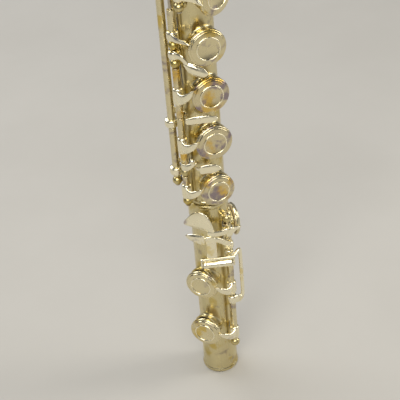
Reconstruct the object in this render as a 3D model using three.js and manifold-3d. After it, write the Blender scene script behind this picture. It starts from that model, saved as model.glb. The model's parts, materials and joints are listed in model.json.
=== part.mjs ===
// A concert flute in C: head joint, body with closed-hole keywork and an offset G,
// and a C foot joint with a roller. Millimetres and degrees. The origin is on the
// tube's axis at the foot's open end, and +Z runs up the tube to the crown.
// An angle phi goes around the tube from -Y, where the finger keys face, towards +X.
import * as THREE from 'three';
import { mergeVertices } from 'three/addons/utils/BufferGeometryUtils.js';
import Module from 'manifold-3d';

const wasm = await Module();
wasm.setup();

// ---- Driving dimensions ----

// The three tubes.
const BORE_RADIUS = 9.5;
const TUBE_RADIUS = 9.9;
const FOOT_LENGTH = 123;
const FOOT_TENON = 11;
const BODY_TOP = 447;
const BARREL = { bottom: 441, top: 491, radius: 11.1 };
const HEAD_TENON_BOTTOM = 450;
const HEAD_TOP = 663;
const HEAD_TOP_RADIUS = 8.9;
const HEAD_WALL = 0.4;
const TENON_RADIUS = 9.8;
const SOCKET_RADIUS = 10.0;
const SOCKET_OUTER_RADIUS = 10.9;
const EMBOUCHURE_HEIGHT = 608;
const TOTAL_LENGTH = 676;

// Tone holes: height of the centre, angle, and radius of the hole.
const FINGER_LINE = 0;
const G_LINE = 22.6;
const BACK_LINE = 176;
const TRILL_LINE = -162;
const FOOT_LINE = -61;
const FOOT_SIDE_LINE = 75;
const HOLES = {
  foot_c: { z: 37, phi: FOOT_LINE, radius: 6.6 },
  foot_c_sharp: { z: 72, phi: FOOT_LINE, radius: 6.6 },
  foot_d_sharp: { z: 103.5, phi: FOOT_SIDE_LINE, radius: 6.6 },
  d: { z: 136, phi: FINGER_LINE, radius: 6.7 },
  e: { z: 165.4, phi: FINGER_LINE, radius: 7.1 },
  f: { z: 193, phi: FINGER_LINE, radius: 7.1 },
  f_sharp: { z: 219.2, phi: FINGER_LINE, radius: 7.1 },
  g_lower: { z: 244, phi: G_LINE, radius: 7.1 },
  g_upper: { z: 267.3, phi: G_LINE, radius: 7.1 },
  g_sharp: { z: 247, phi: BACK_LINE, radius: 6.6 },
  a: { z: 289.3, phi: FINGER_LINE, radius: 6.5 },
  a_sharp: { z: 310.1, phi: FINGER_LINE, radius: 6.5 },
  thumb: { z: 329.7, phi: BACK_LINE, radius: 6.5 },
  c_sharp: { z: 363, phi: FINGER_LINE, radius: 3.4 },
  d_trill: { z: 382, phi: TRILL_LINE, radius: 3.7 },
  d_sharp_trill: { z: 399, phi: TRILL_LINE, radius: 3.7 },
};
const CHIMNEY_WALL = 0.8;
const CHIMNEY_RIM = 12;

// Cups and pads, measured along the radius through the closed hole.
const CUP_OVER_HOLE = 2.6;
const SMALL_CUP_OVER_HOLE = 1.9;
const SMALL_HOLE = 5;
const CUP_WALL = 0.7;
const CUP_FLOOR = 12.8;
const CUP_TOP = 15.4;
const PAD_BOTTOM = 12.3;
const PAD_TOP = 14.4;
const PAD_GAP = 0.3;
const KEY_LIFT = 9.5;

// Keys hinge on steels held by posts. Each steel's line: its angle and its
// distance from the tube's axis.
const MAIN_LINE = { phi: -76.5, radius: 13.8 };
const G_STEEL_LINE = { phi: -53.4, radius: 14 };
const TRILL_STEEL_LINE = { phi: -108, radius: 15.3 };
const BACK_STEEL_LINE = { phi: 104, radius: 14 };
const FOOT_STEEL_LINE = { phi: 15, radius: 13.8 };
const STEEL_RADIUS = 0.85;
const HINGE_BORE = 1.1;
const HINGE_RADIUS = 1.85;
const TRILL_HINGE_RADIUS = 2;
const POST_BALL_RADIUS = 2.6;
const POST_STEM_RADIUS = 1.2;
const RIB = { inner: 10.1, outer: 10.5, halfWidth: 10 };

// Facets of round pieces.
const TUBE_SIDES = 20;
const HOLE_SIDES = 12;
const CUP_SIDES = 16;
const HINGE_SIDES = 8;

// ---- Finishes ----

const finishes = {
  tube: { color: 0xb9a878, roughness: 0.3, metalness: 1 },
  keys: { color: 0xd2c59a, roughness: 0.22, metalness: 1 },
  ribs: { color: 0xa8935a, roughness: 0.35, metalness: 1 },
  steel: { color: 0x8d8676, roughness: 0.3, metalness: 1 },
  pad: { color: 0xd8c8a0, roughness: 0.8, metalness: 0 },
  cork: { color: 0xa9794a, roughness: 0.9, metalness: 0 },
};

// ---- Solids ----

function radians(degrees) {
  return THREE.MathUtils.degToRad(degrees);
}

// The signed volume tells whether a closed geometry's faces point out.
function signedVolume(position, index) {
  const [a, b, c] = [new THREE.Vector3(), new THREE.Vector3(), new THREE.Vector3()];
  let volume = 0;
  for (let i = 0; i < index.length; i += 3) {
    a.fromBufferAttribute(position, index[i]);
    b.fromBufferAttribute(position, index[i + 1]);
    c.fromBufferAttribute(position, index[i + 2]);
    volume += a.dot(b.cross(c));
  }
  return volume;
}

function withoutSlivers(index) {
  const kept = [];
  for (let i = 0; i < index.length; i += 3) {
    const [a, b, c] = [index[i], index[i + 1], index[i + 2]];
    if (a !== b && b !== c && c !== a) {
      kept.push(a, b, c);
    }
  }
  return kept;
}

// A closed three.js geometry as a solid that can be joined and cut.
function solid(geometry) {
  const bare = geometry.clone();
  bare.deleteAttribute('normal');
  bare.deleteAttribute('uv');
  const merged = mergeVertices(bare, 1e-4);
  const position = merged.getAttribute('position');
  const index = withoutSlivers(Array.from(merged.index.array));
  if (signedVolume(position, index) < 0) {
    index.reverse();
  }
  return new wasm.Manifold(new wasm.Mesh({
    numProp: 3,
    vertProperties: new Float32Array(position.array),
    triVerts: new Uint32Array(index),
  }));
}

function union(solids) {
  return solids.reduce((whole, part) => whole.add(part));
}

// The point at angle phi, a distance from the axis, and a height.
function at(phi, radius, z) {
  return new THREE.Vector3(
    radius * Math.sin(radians(phi)), -radius * Math.cos(radians(phi)), z);
}

// A solid of revolution about Z from a closed outline of [radius, height].
function turned(outline, sides) {
  const points = outline.map(([radius, z]) => new THREE.Vector2(radius, z));
  const geometry = new THREE.LatheGeometry(points, sides);
  geometry.rotateX(Math.PI / 2);
  return solid(geometry);
}

function roundBar(line, bottom, top, radius, sides = HINGE_SIDES) {
  const geometry = new THREE.CylinderGeometry(radius, radius, top - bottom, sides);
  geometry.rotateX(Math.PI / 2);
  const centre = at(line.phi, line.radius, (bottom + top) / 2);
  return solid(geometry.translate(centre.x, centre.y, centre.z));
}

// A round plug along the radius at phi, between two distances from the axis.
function radialPlug(phi, z, radius, inner, outer, sides) {
  const geometry = new THREE.CylinderGeometry(radius, radius, outer - inner, sides);
  geometry.translate(0, -(inner + outer) / 2, 0);
  geometry.rotateZ(radians(phi));
  return solid(geometry.translate(0, 0, z));
}

// A flat outline of [x, z] points, made a plate between two distances from the axis.
function plate(outline, phi, inner, outer) {
  const shape = new THREE.Shape(outline.map(([x, z]) => new THREE.Vector2(x, z)));
  const geometry = new THREE.ExtrudeGeometry(
    shape, { depth: outer - inner, bevelEnabled: false });
  geometry.rotateX(Math.PI / 2);
  geometry.translate(0, -inner, 0);
  return solid(geometry.rotateZ(radians(phi)));
}

// A curved strap that follows the tube between two angles.
function strap(phi, halfWidth, inner, outer, bottom, top) {
  const angles = [phi - halfWidth, phi, phi + halfWidth];
  const outerEdge = angles.map((angle) => at(angle, outer, 0));
  const innerEdge = angles.map((angle) => at(angle, inner, 0)).reverse();
  const points = [...outerEdge, ...innerEdge].map(({ x, y }) => new THREE.Vector2(x, y));
  const geometry = new THREE.ExtrudeGeometry(
    new THREE.Shape(points), { depth: top - bottom, bevelEnabled: false });
  return solid(geometry.translate(0, 0, bottom));
}

// A flat strip bent through [phi, radius] points across the tube, and as wide as
// bottom to top along it.
function bentStrip(points, thickness, bottom, top) {
  const path = points.map(([phi, radius]) => {
    const p = at(phi, radius, 0);
    return new THREE.Vector2(p.x, p.y);
  });
  const sides = [[], []];
  path.forEach((point, i) => {
    const before = path[Math.max(i - 1, 0)];
    const after = path[Math.min(i + 1, path.length - 1)];
    const along = after.clone().sub(before).normalize();
    const across = new THREE.Vector2(-along.y, along.x).multiplyScalar(thickness / 2);
    sides[0].push(point.clone().add(across));
    sides[1].unshift(point.clone().sub(across));
  });
  const shape = new THREE.Shape([...sides[0], ...sides[1]]);
  const geometry = new THREE.ExtrudeGeometry(
    shape, { depth: top - bottom, bevelEnabled: false });
  return solid(geometry.translate(0, 0, bottom));
}

// A straight bar of rectangular section from one point to another.
function beam(from, to, width, thickness) {
  const along = to.clone().sub(from);
  const geometry = new THREE.BoxGeometry(width, thickness, along.length());
  const middle = from.clone().add(to).multiplyScalar(0.5);
  const frame = new THREE.Object3D();
  frame.up.set(middle.x, middle.y, 0).normalize();
  frame.lookAt(along);
  frame.position.copy(middle);
  frame.updateMatrix();
  return solid(geometry.applyMatrix4(frame.matrix));
}

function ball(line, z, radius) {
  const geometry = new THREE.SphereGeometry(radius, 8, 4);
  geometry.rotateX(Math.PI / 2);
  const centre = at(line.phi, line.radius, z);
  return solid(geometry.translate(centre.x, centre.y, centre.z));
}

function turnAboutLine(body, line, degrees) {
  const p = at(line.phi, line.radius, 0);
  return body.translate([-p.x, -p.y, 0]).rotate([0, 0, degrees]).translate([p.x, p.y, 0]);
}

// ---- The scene ----

const flute = new THREE.Group();
flute.name = 'flute';

function addNode(name, body, finish) {
  const { vertProperties, triVerts } = body.getMesh();
  const geometry = new THREE.BufferGeometry();
  geometry.setAttribute('position', new THREE.BufferAttribute(vertProperties, 3));
  geometry.setIndex(new THREE.BufferAttribute(triVerts, 1));
  const mesh = new THREE.Mesh(geometry, new THREE.MeshStandardMaterial(finishes[finish]));
  mesh.name = name;
  flute.add(mesh);
}

// ---- Tubes ----

// Every tone hole's chimney stands on the tube. Chimneys are joined to the tube
// first, so that the bore and the holes are cut through both.
function tubeWithChimneys(outline, boreBottom, boreTop, holes) {
  const parts = [turned(outline, TUBE_SIDES)];
  for (const hole of holes) {
    const radius = hole.radius + CHIMNEY_WALL;
    parts.push(radialPlug(hole.phi, hole.z, radius, 7, CHIMNEY_RIM, HOLE_SIDES));
  }
  let tube = union(parts);
  const bore = [[0, boreBottom], [BORE_RADIUS, boreBottom], [BORE_RADIUS, boreTop], [0, boreTop]];
  tube = tube.subtract(turned(bore, TUBE_SIDES));
  for (const hole of holes) {
    tube = tube.subtract(radialPlug(hole.phi, hole.z, hole.radius, 3, 16, HOLE_SIDES));
  }
  return tube;
}

function footTube() {
  const bead = 10.35;
  const shoulder = FOOT_LENGTH - FOOT_TENON - 0.8;
  const outline = [
    [0, 0], [bead, 0], [bead, 1.7], [TUBE_RADIUS, 2.4], [TUBE_RADIUS, shoulder],
    [SOCKET_OUTER_RADIUS, shoulder + 1], [SOCKET_OUTER_RADIUS, FOOT_LENGTH - 2.2],
    [SOCKET_OUTER_RADIUS + 0.4, FOOT_LENGTH - 1.6],
    [SOCKET_OUTER_RADIUS + 0.4, FOOT_LENGTH], [0, FOOT_LENGTH],
  ];
  const holes = [HOLES.foot_c, HOLES.foot_c_sharp, HOLES.foot_d_sharp];
  const tube = tubeWithChimneys(outline, -1, FOOT_LENGTH + 1, holes);
  const socketBottom = FOOT_LENGTH - FOOT_TENON;
  const socket = [
    [0, socketBottom], [SOCKET_RADIUS, socketBottom],
    [SOCKET_RADIUS, FOOT_LENGTH + 1], [0, FOOT_LENGTH + 1],
  ];
  return tube.subtract(turned(socket, TUBE_SIDES));
}

function bodyTube() {
  const bottom = FOOT_LENGTH - FOOT_TENON + 0.3;
  const outline = [
    [0, bottom], [TENON_RADIUS, bottom], [TENON_RADIUS, FOOT_LENGTH + 0.3],
    [TUBE_RADIUS + 0.5, FOOT_LENGTH + 0.3], [TUBE_RADIUS + 0.5, FOOT_LENGTH + 2],
    [TUBE_RADIUS, FOOT_LENGTH + 2.4], [TUBE_RADIUS, BODY_TOP], [0, BODY_TOP],
  ];
  const names = Object.keys(HOLES).filter((name) => !name.startsWith('foot_'));
  return tubeWithChimneys(outline, bottom - 1, BODY_TOP + 1, names.map((name) => HOLES[name]));
}

// The barrel is a sleeve on the body's top that takes the head's tenon.
function barrel() {
  const { bottom, top, radius } = BARREL;
  const ring = radius + 0.5;
  return turned([
    [TUBE_RADIUS + 0.15, bottom], [ring, bottom], [ring, bottom + 2.5],
    [radius, bottom + 3.3], [radius, top - 3.3], [ring, top - 2.5], [ring, top],
    [SOCKET_RADIUS + 0.05, top], [TUBE_RADIUS + 0.15, bottom],
  ], TUBE_SIDES);
}

// The head narrows from the tenon to the crown.
function headRadius(z) {
  const start = BARREL.top;
  const share = Math.max(0, (z - start) / (HEAD_TOP - start));
  return TENON_RADIUS + (HEAD_TOP_RADIUS - TENON_RADIUS) * share;
}

function headTube() {
  const heights = [BARREL.top, EMBOUCHURE_HEIGHT, HEAD_TOP];
  const outer = heights.map((z) => [headRadius(z), z]);
  const inner = heights.map((z) => [headRadius(z) - HEAD_WALL, z]).reverse();
  const start = [TENON_RADIUS, HEAD_TENON_BOTTOM];
  const tube = turned([
    start, ...outer, ...inner, [TENON_RADIUS - HEAD_WALL, HEAD_TENON_BOTTOM], start,
  ], TUBE_SIDES);
  return tube.subtract(blowHole(2, 14));
}

// ---- Lip plate and crown ----

const BLOW_HOLE = { width: 12.2, height: 10.4 };
const SCREW_RADIUS = 2.6;
const SCREW_TOP = 668;
const SCREW_ROOM = 2.6;
const STOPPER_FACE = EMBOUCHURE_HEIGHT + 17.3;
const LIP_PLATE = { width: 24.4, length: 44, inner: 12.9, outer: 14 };
const LIP_PLATE_SIDES = 32;

function ellipse(halfX, halfZ, sides) {
  return Array.from({ length: sides }, (_, i) => {
    const angle = (2 * Math.PI * i) / sides;
    return [halfX * Math.cos(angle), EMBOUCHURE_HEIGHT + halfZ * Math.sin(angle)];
  });
}

function blowHole(inner, outer, grow = 0) {
  const outline = ellipse(BLOW_HOLE.height / 2 + grow, BLOW_HOLE.width / 2 + grow, HOLE_SIDES);
  return plate(outline, FINGER_LINE, inner, outer);
}

// The lip plate is an oval cut from a ring about the head's axis.
function lipPlate() {
  const { width, length, inner, outer } = LIP_PLATE;
  const low = EMBOUCHURE_HEIGHT - length / 2 - 1;
  const high = EMBOUCHURE_HEIGHT + length / 2 + 1;
  const ring = turned(
    [[inner, low], [outer, low], [outer, high], [inner, high], [inner, low]], LIP_PLATE_SIDES);
  const oval = plate(ellipse(width / 2, length / 2, 24), FINGER_LINE, 2, 20);
  return ring.intersect(oval).subtract(blowHole(2, 20));
}

// The riser is the short chimney between the head tube and the lip plate.
function embouchureRiser() {
  const tubeAndGap = headRadius(EMBOUCHURE_HEIGHT) + 0.3;
  const tube = turned([
    [0, EMBOUCHURE_HEIGHT - 20], [tubeAndGap, EMBOUCHURE_HEIGHT - 20],
    [tubeAndGap, EMBOUCHURE_HEIGHT + 20], [0, EMBOUCHURE_HEIGHT + 20],
  ], TUBE_SIDES);
  const top = LIP_PLATE.inner * Math.cos(radians(31)) - 0.3;
  return blowHole(7, top, 1.6).subtract(tube).subtract(blowHole(2, 20));
}

function crown() {
  const skirt = HEAD_TOP + 0.3;
  return turned([
    [0, TOTAL_LENGTH], [6.2, TOTAL_LENGTH], [8.6, TOTAL_LENGTH - 1.6],
    [9.4, TOTAL_LENGTH - 5], [9.4, skirt], [8, skirt], [8, skirt - 5],
    [SCREW_RADIUS + 0.3, skirt - 5], [SCREW_RADIUS + 0.3, SCREW_TOP + SCREW_ROOM],
    [0, SCREW_TOP + SCREW_ROOM],
  ], TUBE_SIDES);
}

// The stopper: a face plate on a threaded rod, a cork on it and a nut on top.
function stopperScrew() {
  return turned([
    [0, STOPPER_FACE], [8.3, STOPPER_FACE], [8.3, STOPPER_FACE + 1.5],
    [SCREW_RADIUS, STOPPER_FACE + 1.5], [SCREW_RADIUS, SCREW_TOP], [0, SCREW_TOP],
  ], 16);
}

function stopperRing(bottom, top, radius) {
  const bore = SCREW_RADIUS + 0.2;
  return turned([
    [bore, bottom], [radius, bottom], [radius, top], [bore, top], [bore, bottom],
  ], 16);
}

// ---- Posts, ribs and steels ----

// Posts stand on a curved rib that is soldered along the tube. Each post's ball
// is drilled for the steel.
function ribWithPosts(line, bottom, top, postHeights) {
  const parts = [strap(line.phi, RIB.halfWidth, RIB.inner, RIB.outer, bottom, top)];
  for (const z of postHeights) {
    parts.push(radialPlug(
      line.phi, z, POST_STEM_RADIUS, RIB.inner + 0.1, line.radius, 8));
    parts.push(ball(line, z, POST_BALL_RADIUS));
  }
  let rib = union(parts);
  for (const z of postHeights) {
    rib = rib.subtract(roundBar(line, z - 4, z + 4, HINGE_BORE));
  }
  return rib;
}

function addSteel(name, line, bottom, top) {
  addNode(name, roundBar(line, bottom, top, STEEL_RADIUS), 'steel');
}

// ---- Keys ----

function cupRadius(hole) {
  return hole.radius + (hole.radius < SMALL_HOLE ? SMALL_CUP_OVER_HOLE : CUP_OVER_HOLE);
}

function radialTurning(outline, hole, sides) {
  const points = outline.map(([radius, height]) => new THREE.Vector2(radius, height));
  const geometry = new THREE.LatheGeometry(points, sides);
  geometry.rotateX(Math.PI);
  geometry.rotateZ(radians(hole.phi));
  return solid(geometry.translate(0, 0, hole.z));
}

// A cup is a shallow cap, hollow below for its pad.
function cup(hole) {
  const radius = cupRadius(hole);
  return radialTurning([
    [0, CUP_FLOOR], [radius, CUP_FLOOR], [radius, CUP_TOP - 0.8],
    [radius - 0.8, CUP_TOP], [0, CUP_TOP],
  ], hole, CUP_SIDES);
}

function padSpace(hole) {
  const radius = cupRadius(hole) - CUP_WALL;
  return radialTurning([
    [0, PAD_BOTTOM - 1], [radius, PAD_BOTTOM - 1],
    [radius, PAD_TOP + PAD_GAP], [0, PAD_TOP + PAD_GAP],
  ], hole, CUP_SIDES);
}

function pad(hole) {
  const radius = cupRadius(hole) - CUP_WALL - PAD_GAP;
  return radialTurning([
    [0, PAD_BOTTOM], [radius - 0.4, PAD_BOTTOM], [radius, PAD_BOTTOM + 0.4],
    [radius, PAD_TOP], [0, PAD_TOP],
  ], hole, CUP_SIDES);
}

// The arm rises from the hinge tube, bends over the cup's edge and ends on its top.
function cupArm(hole, line, armHeight, width) {
  const between = radians(line.phi - hole.phi);
  const side = Math.sign(between);
  const hinge = new THREE.Vector2(
    line.radius * Math.sin(between), line.radius * Math.cos(between));
  const radius = cupRadius(hole);
  const local = [
    [hinge.x, hinge.y + 0.4],
    [hinge.x + side * 0.5, (hinge.y + 12.6) / 2],
    [hinge.x - side * 0.9, 12.9],
    [side * (radius - 0.4), 14.4],
    [side * radius * 0.35, 14.5],
  ];
  const polar = local.map(([x, height]) => [
    hole.phi + THREE.MathUtils.radToDeg(Math.atan2(x, height)),
    Math.hypot(x, height),
  ]);
  return bentStrip(polar, 1.5, armHeight - width / 2, armHeight + width / 2);
}

// Joins a key's pieces, then drills its hinge tube and clears its pads' space.
function finishKey(parts, line, tube, holes) {
  const key = union(parts).subtract(
    roundBar(line, tube.bottom - 2, tube.top + 2, HINGE_BORE));
  return holes.reduce((whole, hole) => whole.subtract(padSpace(hole)), key);
}

function hingeTube(line, tube) {
  return roundBar(line, tube.bottom, tube.top, tube.radius ?? HINGE_RADIUS);
}

// A key with one or more cups on a hinge tube, in the place where it closes its holes.
function cupKey({ holes, line, tube, extras = [] }) {
  const parts = [hingeTube(line, tube), ...extras];
  for (const { hole, armHeight, width } of holes) {
    parts.push(cup(hole), cupArm(hole, line, armHeight, width));
  }
  return finishKey(parts, line, tube, holes.map(({ hole }) => hole));
}

// A key or a pad is put in place turned about its steel by lift degrees, which opens it.
function addKey(name, key, line, lift) {
  addNode(name, turnAboutLine(key, line, lift), 'keys');
}

function addPad(name, hole, line, lift) {
  addNode(name, turnAboutLine(pad(hole), line, lift), 'pad');
}

// ---- Build: tubes ----

addNode('foot_tube', footTube(), 'tube');
addNode('body_tube', bodyTube(), 'tube');
addNode('barrel', barrel(), 'tube');
addNode('head_tube', headTube(), 'tube');
addNode('lip_plate', lipPlate(), 'tube');
addNode('embouchure_riser', embouchureRiser(), 'tube');
addNode('crown', crown(), 'tube');
addNode('stopper_screw', stopperScrew(), 'steel');
addNode('stopper_cork', stopperRing(STOPPER_FACE + 1.8, STOPPER_FACE + 15, 8.3), 'cork');
addNode('stopper_nut', stopperRing(STOPPER_FACE + 15.3, STOPPER_FACE + 17.8, 6), 'steel');

// ---- Build: the right hand's keys on the lower main steel ----

const RIGHT_HAND_POSTS = [127, 145.3];
const MIDDLE_POSTS = [209.2, 219.2];
const UPPER_POSTS = [276, 318.5, 368.5];

addNode('lower_rib', ribWithPosts(MAIN_LINE, 125.8, 147.4, RIGHT_HAND_POSTS), 'ribs');
addNode('middle_rib', ribWithPosts(MAIN_LINE, 205, 236, MIDDLE_POSTS), 'ribs');
addNode('upper_rib', ribWithPosts(MAIN_LINE, 272, 372, UPPER_POSTS), 'ribs');
addSteel('right_hand_steel', MAIN_LINE, 124.4, 209.0);
addSteel('left_hand_steel', MAIN_LINE, 209.4, 371.4);

// Closed keys stay where they are, and open ones start turned away from the tube.
const OPEN_FROM_LEFT = -KEY_LIFT;
const OPEN_FROM_RIGHT = KEY_LIFT;
const RIGHT_HAND_KEYS = [
  { name: 'd', tube: { bottom: 129.5, top: 142.8 }, armHeight: 133.3, width: 7.6 },
  { name: 'e', tube: { bottom: 147.9, top: 178.2 }, armHeight: 162, width: 8.5 },
  { name: 'f', tube: { bottom: 178.5, top: 206.6 }, armHeight: 191, width: 8.5 },
  { name: 'f_sharp', tube: { bottom: 221.8, top: 238 }, armHeight: 225.2, width: 4.6 },
];

// The adjusting lug on the E key's tube rises beside the D sharp trill touch.
function adjustingLug() {
  const root = at(-76.5, 14.8, 150.2);
  const bend = at(-57, 15.6, 151.4);
  const tip = at(-41, 14.6, 155.4);
  return beam(root, bend, 2.6, 1.6).add(beam(bend, tip, 2.2, 1.6)).add(
    radialPlug(-45, 155.4, 1.2, 13.9, 16.2, HINGE_SIDES));
}

for (const { name, tube, armHeight, width } of RIGHT_HAND_KEYS) {
  const hole = HOLES[name];
  const extras = name === 'e' ? [adjustingLug()] : [];
  const key = cupKey({ holes: [{ hole, armHeight, width }], line: MAIN_LINE, tube, extras });
  addKey(`${name}_key`, key, MAIN_LINE, OPEN_FROM_LEFT);
  addPad(`${name}_pad`, hole, MAIN_LINE, OPEN_FROM_LEFT);
}

// ---- Build: the left hand's keys ----

const aKey = cupKey({
  holes: [{ hole: HOLES.a, armHeight: 288, width: 7 }],
  line: MAIN_LINE,
  tube: { bottom: 278.6, top: 297.4 },
});
addKey('a_key', aKey, MAIN_LINE, OPEN_FROM_LEFT);
addPad('a_pad', HOLES.a, MAIN_LINE, OPEN_FROM_LEFT);

const aSharpKey = cupKey({
  holes: [{ hole: HOLES.a_sharp, armHeight: 309, width: 7 }],
  line: MAIN_LINE,
  tube: { bottom: 297.7, top: 315.9 },
});
addKey('a_sharp_key', aSharpKey, MAIN_LINE, OPEN_FROM_LEFT);
addPad('a_sharp_pad', HOLES.a_sharp, MAIN_LINE, OPEN_FROM_LEFT);

// The index finger's touch is a solid disc with no hole under it. Its hinge tube
// carries the small C sharp cup further up.
const INDEX_TOUCH = { z: 331, radius: 7.4 };

function indexTouch() {
  const disc = radialPlug(FINGER_LINE, INDEX_TOUCH.z, INDEX_TOUCH.radius, 14.1, 15.4, CUP_SIDES);
  const hole = { z: INDEX_TOUCH.z, phi: FINGER_LINE, radius: 4.5 };
  return disc.add(cupArm(hole, MAIN_LINE, INDEX_TOUCH.z - 1, 5));
}

const cKey = cupKey({
  holes: [{ hole: HOLES.c_sharp, armHeight: 362, width: 4 }],
  line: MAIN_LINE,
  tube: { bottom: 321.1, top: 365.9 },
  extras: [indexTouch()],
});
addKey('c_key', cKey, MAIN_LINE, OPEN_FROM_LEFT);
addPad('c_sharp_pad', HOLES.c_sharp, MAIN_LINE, OPEN_FROM_LEFT);

// The B flat lever's touch lies between the F and F sharp cups.
function bFlatLever() {
  const tube = { bottom: 211.7, top: 216.7 };
  const touch = plate([
    [-5.4, 211.2], [-4.2, 209.4], [-2.2, 207.2], [0.6, 205], [3.4, 204.2], [5.4, 205.6],
    [3.6, 208.6], [0.6, 210.6], [-2.8, 211.8],
  ], -26, 13.6, 14.7);
  const arm = beam(at(-76, 14.4, 214.6), at(-52, 15.2, 214.8), 2.6, 1.5);
  const bend = beam(at(-54, 15.2, 215.2), at(-42, 14.6, 210.4), 2.4, 1.5);
  return finishKey([hingeTube(MAIN_LINE, tube), touch, arm, bend], MAIN_LINE, tube, []);
}

addKey('b_flat_lever', bFlatLever(), MAIN_LINE, OPEN_FROM_LEFT);

// The two G cups share one hinge tube on their own steel.
addNode('g_rib', ribWithPosts(G_STEEL_LINE, 238, 283, [240.4, 280]), 'ribs');
addSteel('g_steel', G_STEEL_LINE, 238, 282.4);

const gKey = cupKey({
  holes: [
    { hole: HOLES.g_lower, armHeight: 247, width: 6 },
    { hole: HOLES.g_upper, armHeight: 266, width: 6 },
  ],
  line: G_STEEL_LINE,
  tube: { bottom: 243, top: 277.4 },
});
addKey('g_key', gKey, G_STEEL_LINE, OPEN_FROM_LEFT);
addPad('g_lower_pad', HOLES.g_lower, G_STEEL_LINE, OPEN_FROM_LEFT);
addPad('g_upper_pad', HOLES.g_upper, G_STEEL_LINE, OPEN_FROM_LEFT);

// The G sharp key stays closed: its touch and its cup are on opposite sides of the steel.
const BACK_POSTS = [236, 262, 284, 344.5];
addNode('back_rib', ribWithPosts(BACK_STEEL_LINE, 233, 347.5, BACK_POSTS), 'ribs');
addSteel('back_steel', BACK_STEEL_LINE, 233.6, 346.9);

function gSharpTouch() {
  const touch = plate([
    [-2.6, 237.5], [2.4, 236.6], [3, 248], [2.4, 259.2], [-2.6, 258],
  ], 74, 15.3, 16.6);
  const arm = bentStrip([[104, 14.8], [97, 16.4], [86, 16.6], [80, 16.1]], 1.4, 245, 250);
  return touch.add(arm);
}

const gSharpKey = cupKey({
  holes: [{ hole: HOLES.g_sharp, armHeight: 247, width: 6 }],
  line: BACK_STEEL_LINE,
  tube: { bottom: 238.6, top: 259.4 },
  extras: [gSharpTouch()],
});
addKey('g_sharp_key', gSharpKey, BACK_STEEL_LINE, 0);
addPad('g_sharp_pad', HOLES.g_sharp, BACK_STEEL_LINE, 0);

// The thumb works the B key and, beside it, the B flat touch.
function thumbTouch(bottom, top) {
  const touch = plate([
    [-5.5, bottom + 1], [0, bottom], [5.5, bottom + 1],
    [5.5, top - 1], [0, top], [-5.5, top - 1],
  ], BACK_LINE, 14.2, 15.6);
  const middle = (bottom + top) / 2;
  const arm = bentStrip(
    [[104, 14.8], [112, 16.6], [136, 16.4], [158, 15.7]], 1.4, middle - 2, middle + 2);
  return touch.add(arm);
}

const bThumbKey = cupKey({
  holes: [{ hole: HOLES.thumb, armHeight: 329, width: 6 }],
  line: BACK_STEEL_LINE,
  tube: { bottom: 306.8, top: 341.9 },
  extras: [thumbTouch(307.4, 318.6)],
});
addKey('b_thumb_key', bThumbKey, BACK_STEEL_LINE, OPEN_FROM_LEFT);
addPad('thumb_pad', HOLES.thumb, BACK_STEEL_LINE, OPEN_FROM_LEFT);

const B_FLAT_TUBE = { bottom: 286.6, top: 306.5 };
const bFlatThumbKey = finishKey(
  [hingeTube(BACK_STEEL_LINE, B_FLAT_TUBE), thumbTouch(291, 305.6)],
  BACK_STEEL_LINE, B_FLAT_TUBE, []);
addKey('b_flat_thumb_key', bFlatThumbKey, BACK_STEEL_LINE, OPEN_FROM_LEFT);

// ---- Build: the trill keys ----

// Both trill keys turn on one line. The D sharp key's steel runs inside the D key's
// tube, from its touch between the D and E cups to its cup near the barrel.
const TRILL_POSTS = [136, 404.6];
const TRILL_UNDER_MAIN = 11.35;

function trillTouch({ bottom, top, left, right, armBottom, armTop, rise }) {
  const arm = bentStrip([
    [-108, 14.3], [-98, 12.3], [-88, 11.5], [-76.5, TRILL_UNDER_MAIN], ...rise,
  ], 0.7, armBottom, armTop);
  const middle = (bottom + top) / 2;
  const touch = plate([
    [left, bottom], [4, bottom], [right, middle - 1], [right, middle + 1], [4, top], [left, top],
  ], -24, 14.4, 15.6);
  return arm.add(touch);
}

addNode('trill_rib', ribWithPosts(TRILL_STEEL_LINE, 133, 407.4, TRILL_POSTS), 'ribs');
addSteel('trill_steel', TRILL_STEEL_LINE, 133.6, 406.4);

const dTrillKey = cupKey({
  holes: [{ hole: HOLES.d_trill, armHeight: 382, width: 4 }],
  line: TRILL_STEEL_LINE,
  tube: { bottom: 169.4, top: 388, radius: TRILL_HINGE_RADIUS },
  extras: [trillTouch({
    bottom: 176.5, top: 182.1, left: -8.4, right: 7.6, armBottom: 176.9, armTop: 181.3,
    rise: [[-66, 12.2], [-57, 14.4], [-50, 16.7]],
  })],
});
addKey('d_trill_key', dTrillKey, TRILL_STEEL_LINE, 0);
addPad('d_trill_pad', HOLES.d_trill, TRILL_STEEL_LINE, 0);

const D_SHARP_TOUCH_TUBE = { bottom: 139, top: 169.1, radius: TRILL_HINGE_RADIUS };
const dSharpTrillTouch = finishKey([
  hingeTube(TRILL_STEEL_LINE, D_SHARP_TOUCH_TUBE),
  trillTouch({
    bottom: 146.4, top: 152.4, left: -3.6, right: 7.2, armBottom: 147.6, armTop: 149.7,
    rise: [[-64, 11.6], [-52, 12.4], [-42, 13.8], [-32, 15.4]],
  }),
], TRILL_STEEL_LINE, D_SHARP_TOUCH_TUBE, []);
addKey('d_sharp_trill_touch', dSharpTrillTouch, TRILL_STEEL_LINE, 0);

const dSharpTrillKey = cupKey({
  holes: [{ hole: HOLES.d_sharp_trill, armHeight: 398, width: 4 }],
  line: TRILL_STEEL_LINE,
  tube: { bottom: 388.6, top: 401.9, radius: TRILL_HINGE_RADIUS },
});
addKey('d_sharp_trill_key', dSharpTrillKey, TRILL_STEEL_LINE, 0);
addPad('d_sharp_trill_pad', HOLES.d_sharp_trill, TRILL_STEEL_LINE, 0);

// ---- Build: the foot's keys ----

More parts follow.
